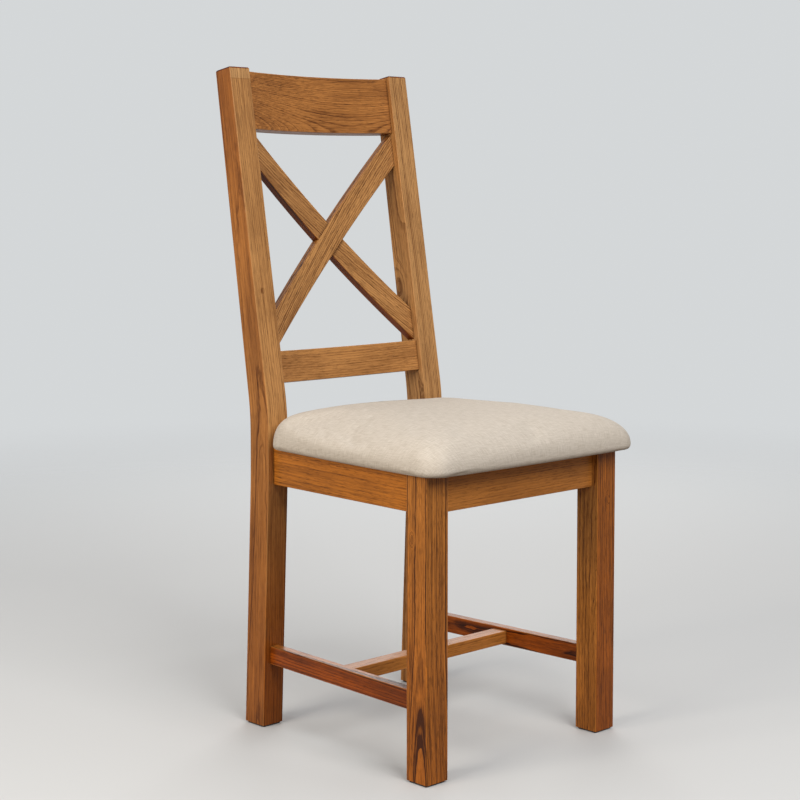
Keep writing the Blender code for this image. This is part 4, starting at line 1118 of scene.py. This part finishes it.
def linen_weave():
    """Plain weave on flat cloth: warp and weft threads of uneven tone that cross in a checker.

    A thread's height is the sine of its phase. The over-and-under is the product of both threads' slow
    sines, and slubs and tone are noise drawn out along each thread. The tone also darkens where the threads
    dip, as painted shade between them.
    """
    tree, given, made = group(
        "linen_weave",
        (("Cloth", "NodeSocketVector", None), ("Pitch", "NodeSocketFloat", 0.001)),
        (("Tone", "NodeSocketFloat"), ("Height", "NodeSocketFloat")),
    )
    cloth = given["Cloth"]
    axes = put(tree, "ShaderNodeSeparateXYZ", {0: cloth}).outputs
    turn = calc(tree, "DIVIDE", math.pi, given["Pitch"])
    warp = calc(tree, "SINE", calc(tree, "MULTIPLY", axes[0], turn))
    weft = calc(tree, "SINE", calc(tree, "MULTIPLY", axes[1], turn))
    over = remap(tree, calc(tree, "MULTIPLY", warp, weft), -0.3, 0.3)
    warp_line = noise(tree, cloth, LINEN_WARP_STRETCH, 2.0).outputs[0]
    weft_line = noise(tree, cloth, LINEN_WEFT_STRETCH, 2.0).outputs[0]
    lines = put(tree, "ShaderNodeMix", {0: over, 2: weft_line, 3: warp_line}).outputs[0]
    rounds = {0: over, 2: calc(tree, "ABSOLUTE", weft), 3: calc(tree, "ABSOLUTE", warp)}
    thread = put(tree, "ShaderNodeMix", rounds).outputs[0]
    tone = remap(tree, lines, 0.25, 0.70)
    # Painted shade: the tone darkens where the threads dip.
    tone = calc(tree, "MULTIPLY", tone, remap(tree, thread, 0.0, 0.7, 0.75, 1.0))
    height = calc(tree, "MULTIPLY_ADD", lines, 0.8, thread)
    tree.links.new(tone, made.inputs["Tone"])
    tree.links.new(height, made.inputs["Height"])
    return tree


LINEN_WEAVE = linen_weave()


def linen():
    """Cream linen: the weave's tone runs from flecks of raw flax to pale thread."""
    finish, tree, shader = new_finish("linen_cream")
    weave = put(tree, "ShaderNodeGroup", {}, node_tree=LINEN_WEAVE)
    cloth = put(tree, "ShaderNodeAttribute", {}, attribute_name="cloth")
    tree.links.new(cloth.outputs["Vector"], weave.inputs["Cloth"])
    weave.inputs["Pitch"].default_value = LINEN_PITCH
    colour = blend(tree, weave.outputs["Tone"], (*LINEN_FLECK, 1.0), (*LINEN_PALE, 1.0))
    height = weave.outputs["Height"]
    bump = put(tree, "ShaderNodeBump", {"Height": height, "Strength": 0.3, "Distance": 0.0004})
    tree.links.new(colour, shader.inputs["Base Color"])
    tree.links.new(bump.outputs[0], shader.inputs["Normal"])
    shader.inputs["Roughness"].default_value = LINEN_ROUGHNESS
    shader.inputs["Specular IOR Level"].default_value = LINEN_SPECULAR
    return finish


pad_skin, pad_stapled = pad_mesh()
seat_pad = set_down("seat_pad", pad_skin)
pad_skin.shade_smooth()
puffed(seat_pad, pad_stapled)
smoother = seat_pad.modifiers.new("smooth_cloth", "SUBSURF")
smoother.levels = 1
smoother.render_levels = 1
pad_skin.materials.append(linen())
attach(seat_pad, "root")
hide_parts("seat_cover", "seat_foam")


# Glides. Moulded black plastic feet, one under each leg and post. They are nailed into the end grain, and
# lift the oak a little off the floor.
GLIDE_BLACK = (0.009, 0.009, 0.009, 1.0)
GLIDE_SCUFF = (0.040, 0.039, 0.037, 1.0)
GLIDE_SCRATCH_STRETCH = (900.0, 120.0, 60.0)
GLIDE_STIPPLE_STRETCH = (1500.0, 1500.0, 1500.0)
GLIDE_SCUFF_HEIGHT = 0.0025


def glide_plastic():
    """Black plastic with a fine moulded texture, scuffed grey where it slides on the floor."""
    finish, tree, shader, place = bare_finish("plastic_black")
    height = put(tree, "ShaderNodeSeparateXYZ", {0: place}).outputs["Z"]
    scratches = remap(tree, noise(tree, place, GLIDE_SCRATCH_STRETCH, 3.0).outputs[0], 0.45, 0.7)
    scuffed = calc(tree, "MULTIPLY", scratches, remap(tree, height, 0.0, GLIDE_SCUFF_HEIGHT, 1.0, 0.15))
    stipple = noise(tree, place, GLIDE_STIPPLE_STRETCH).outputs[0]
    colour = blend(tree, scuffed, GLIDE_BLACK, GLIDE_SCUFF)
    roughness = remap(tree, scuffed, 0.0, 1.0, 0.42, 0.7)
    lay_on(tree, shader, colour, roughness, stipple, strength=0.25, distance=0.0001)
    return finish


dress(glide_plastic(), *(f"glide_{corner}" for corner in corners))


# Floor, light and camera. A plain pale floor that fades into the background, three soft lamps and an even
# sky, seen from the photograph's place.
FLOOR_REACH = 8.0
CAMERA_FROM_LEGS = (-1.9536, -1.7751, 0.8496)
CAMERA_YAW = math.radians(-43.833)
CAMERA_PITCH = math.radians(4.324)
PICTURE_PIXELS = 800
FOCAL_PIXELS = 1780.44
CENTRE_PIXELS = (405.78, 327.41)
SENSOR = 36.0

FLOOR_FADE = (1.0, 4.0)
FLOOR_ROUGHNESS = 0.85
FLOOR_SPECULAR = 0.1
BACKGROUND = (0.66, 0.68, 0.69, 1.0)
FLOOR_SEEN = (0.60, 0.595, 0.58, 1.0)
FLOOR_BOUNCE = (0.18, 0.145, 0.115, 1.0)
AMBIENT_SIDE = (0.10, 0.094, 0.082, 1.0)
AMBIENT_TOP = (0.65, 0.67, 0.71, 1.0)


def seen_straight(tree):
    """One for rays from the camera or by way of gloss or glass, zero for rays that only carry light."""
    path = put(tree, "ShaderNodeLightPath", {}).outputs
    straight = calc(tree, "MAXIMUM", path["Is Camera Ray"], path["Is Glossy Ray"])
    return calc(tree, "MAXIMUM", straight, path["Is Transmission Ray"])


def floor_paint():
    """Pale matt floor that fades into the background with distance from the chair."""
    paint, tree, shader, place = bare_finish("floor_pale")
    shader.inputs["Roughness"].default_value = FLOOR_ROUGHNESS
    shader.inputs["Specular IOR Level"].default_value = FLOOR_SPECULAR
    colour = blend(tree, seen_straight(tree), FLOOR_BOUNCE, FLOOR_SEEN)
    tree.links.new(colour, shader.inputs["Base Color"])
    away = put(tree, "ShaderNodeVectorMath", {0: place}, operation="LENGTH").outputs["Value"]
    tree.links.new(remap(tree, away, *FLOOR_FADE, 1.0, 0.0), shader.inputs["Alpha"])
    return paint


floor_mesh = bpy.data.meshes.new("floor")
floor_corners = FLOOR_REACH * np.array(((-1, -1, 0), (1, -1, 0), (1, 1, 0), (-1, 1, 0)))
floor_mesh.from_pydata(floor_corners.tolist(), [], [(0, 1, 2, 3)])
floor = set_down("floor", floor_mesh)
floor_mesh.materials.append(floor_paint())

world = bpy.data.worlds.new("studio")
world.use_nodes = True
sky = world.node_tree
toward = put(sky, "ShaderNodeTexCoord", {}).outputs["Generated"]
upward = put(sky, "ShaderNodeSeparateXYZ", {0: toward}).outputs["Z"]
ambient = blend(sky, upward, AMBIENT_SIDE, AMBIENT_TOP)
seen = blend(sky, seen_straight(sky), ambient, BACKGROUND)
sky.links.new(seen, sky.nodes["Background"].inputs["Color"])
bpy.context.scene.world = world


def softbox(name, place, aim, size, watts, tint):
    """A square area lamp that faces a point."""
    lamp = bpy.data.lights.new(name, "AREA")
    lamp.energy = watts
    lamp.color = tint
    lamp.size = size
    back = np.array(place, float) - np.array(aim, float)
    tilt = math.atan2(math.hypot(back[0], back[1]), back[2])
    holder = set_down(name, lamp)
    holder.location = place
    holder.rotation_euler = (tilt, 0.0, math.atan2(back[0], -back[1]))


LIGHT_AIM = (0.0, 0.0, 0.5)
WHITE = (1.0, 1.0, 1.0)
softbox("left", (-2.9, 0.1, 1.4), LIGHT_AIM, size=1.4, watts=55.0, tint=(1.0, 0.94, 0.85))
softbox("front", (-0.6, -2.6, 2.5), LIGHT_AIM, size=1.9, watts=76.0, tint=WHITE)
softbox("back", (2.2, 2.0, 1.9), LIGHT_AIM, size=1.8, watts=36.0, tint=WHITE)

camera = bpy.data.cameras.new("camera")
camera.sensor_width = SENSOR
camera.lens = SENSOR * FOCAL_PIXELS / PICTURE_PIXELS
camera.shift_x = 0.5 - CENTRE_PIXELS[0] / PICTURE_PIXELS
camera.shift_y = CENTRE_PIXELS[1] / PICTURE_PIXELS - 0.5
viewer = set_down("camera", camera)
viewer.location = np.array(CAMERA_FROM_LEGS) + (0.0, leg_low[1], 0.0)
viewer.rotation_euler = (math.pi / 2 - CAMERA_PITCH, 0.0, CAMERA_YAW)
bpy.context.scene.camera = viewer
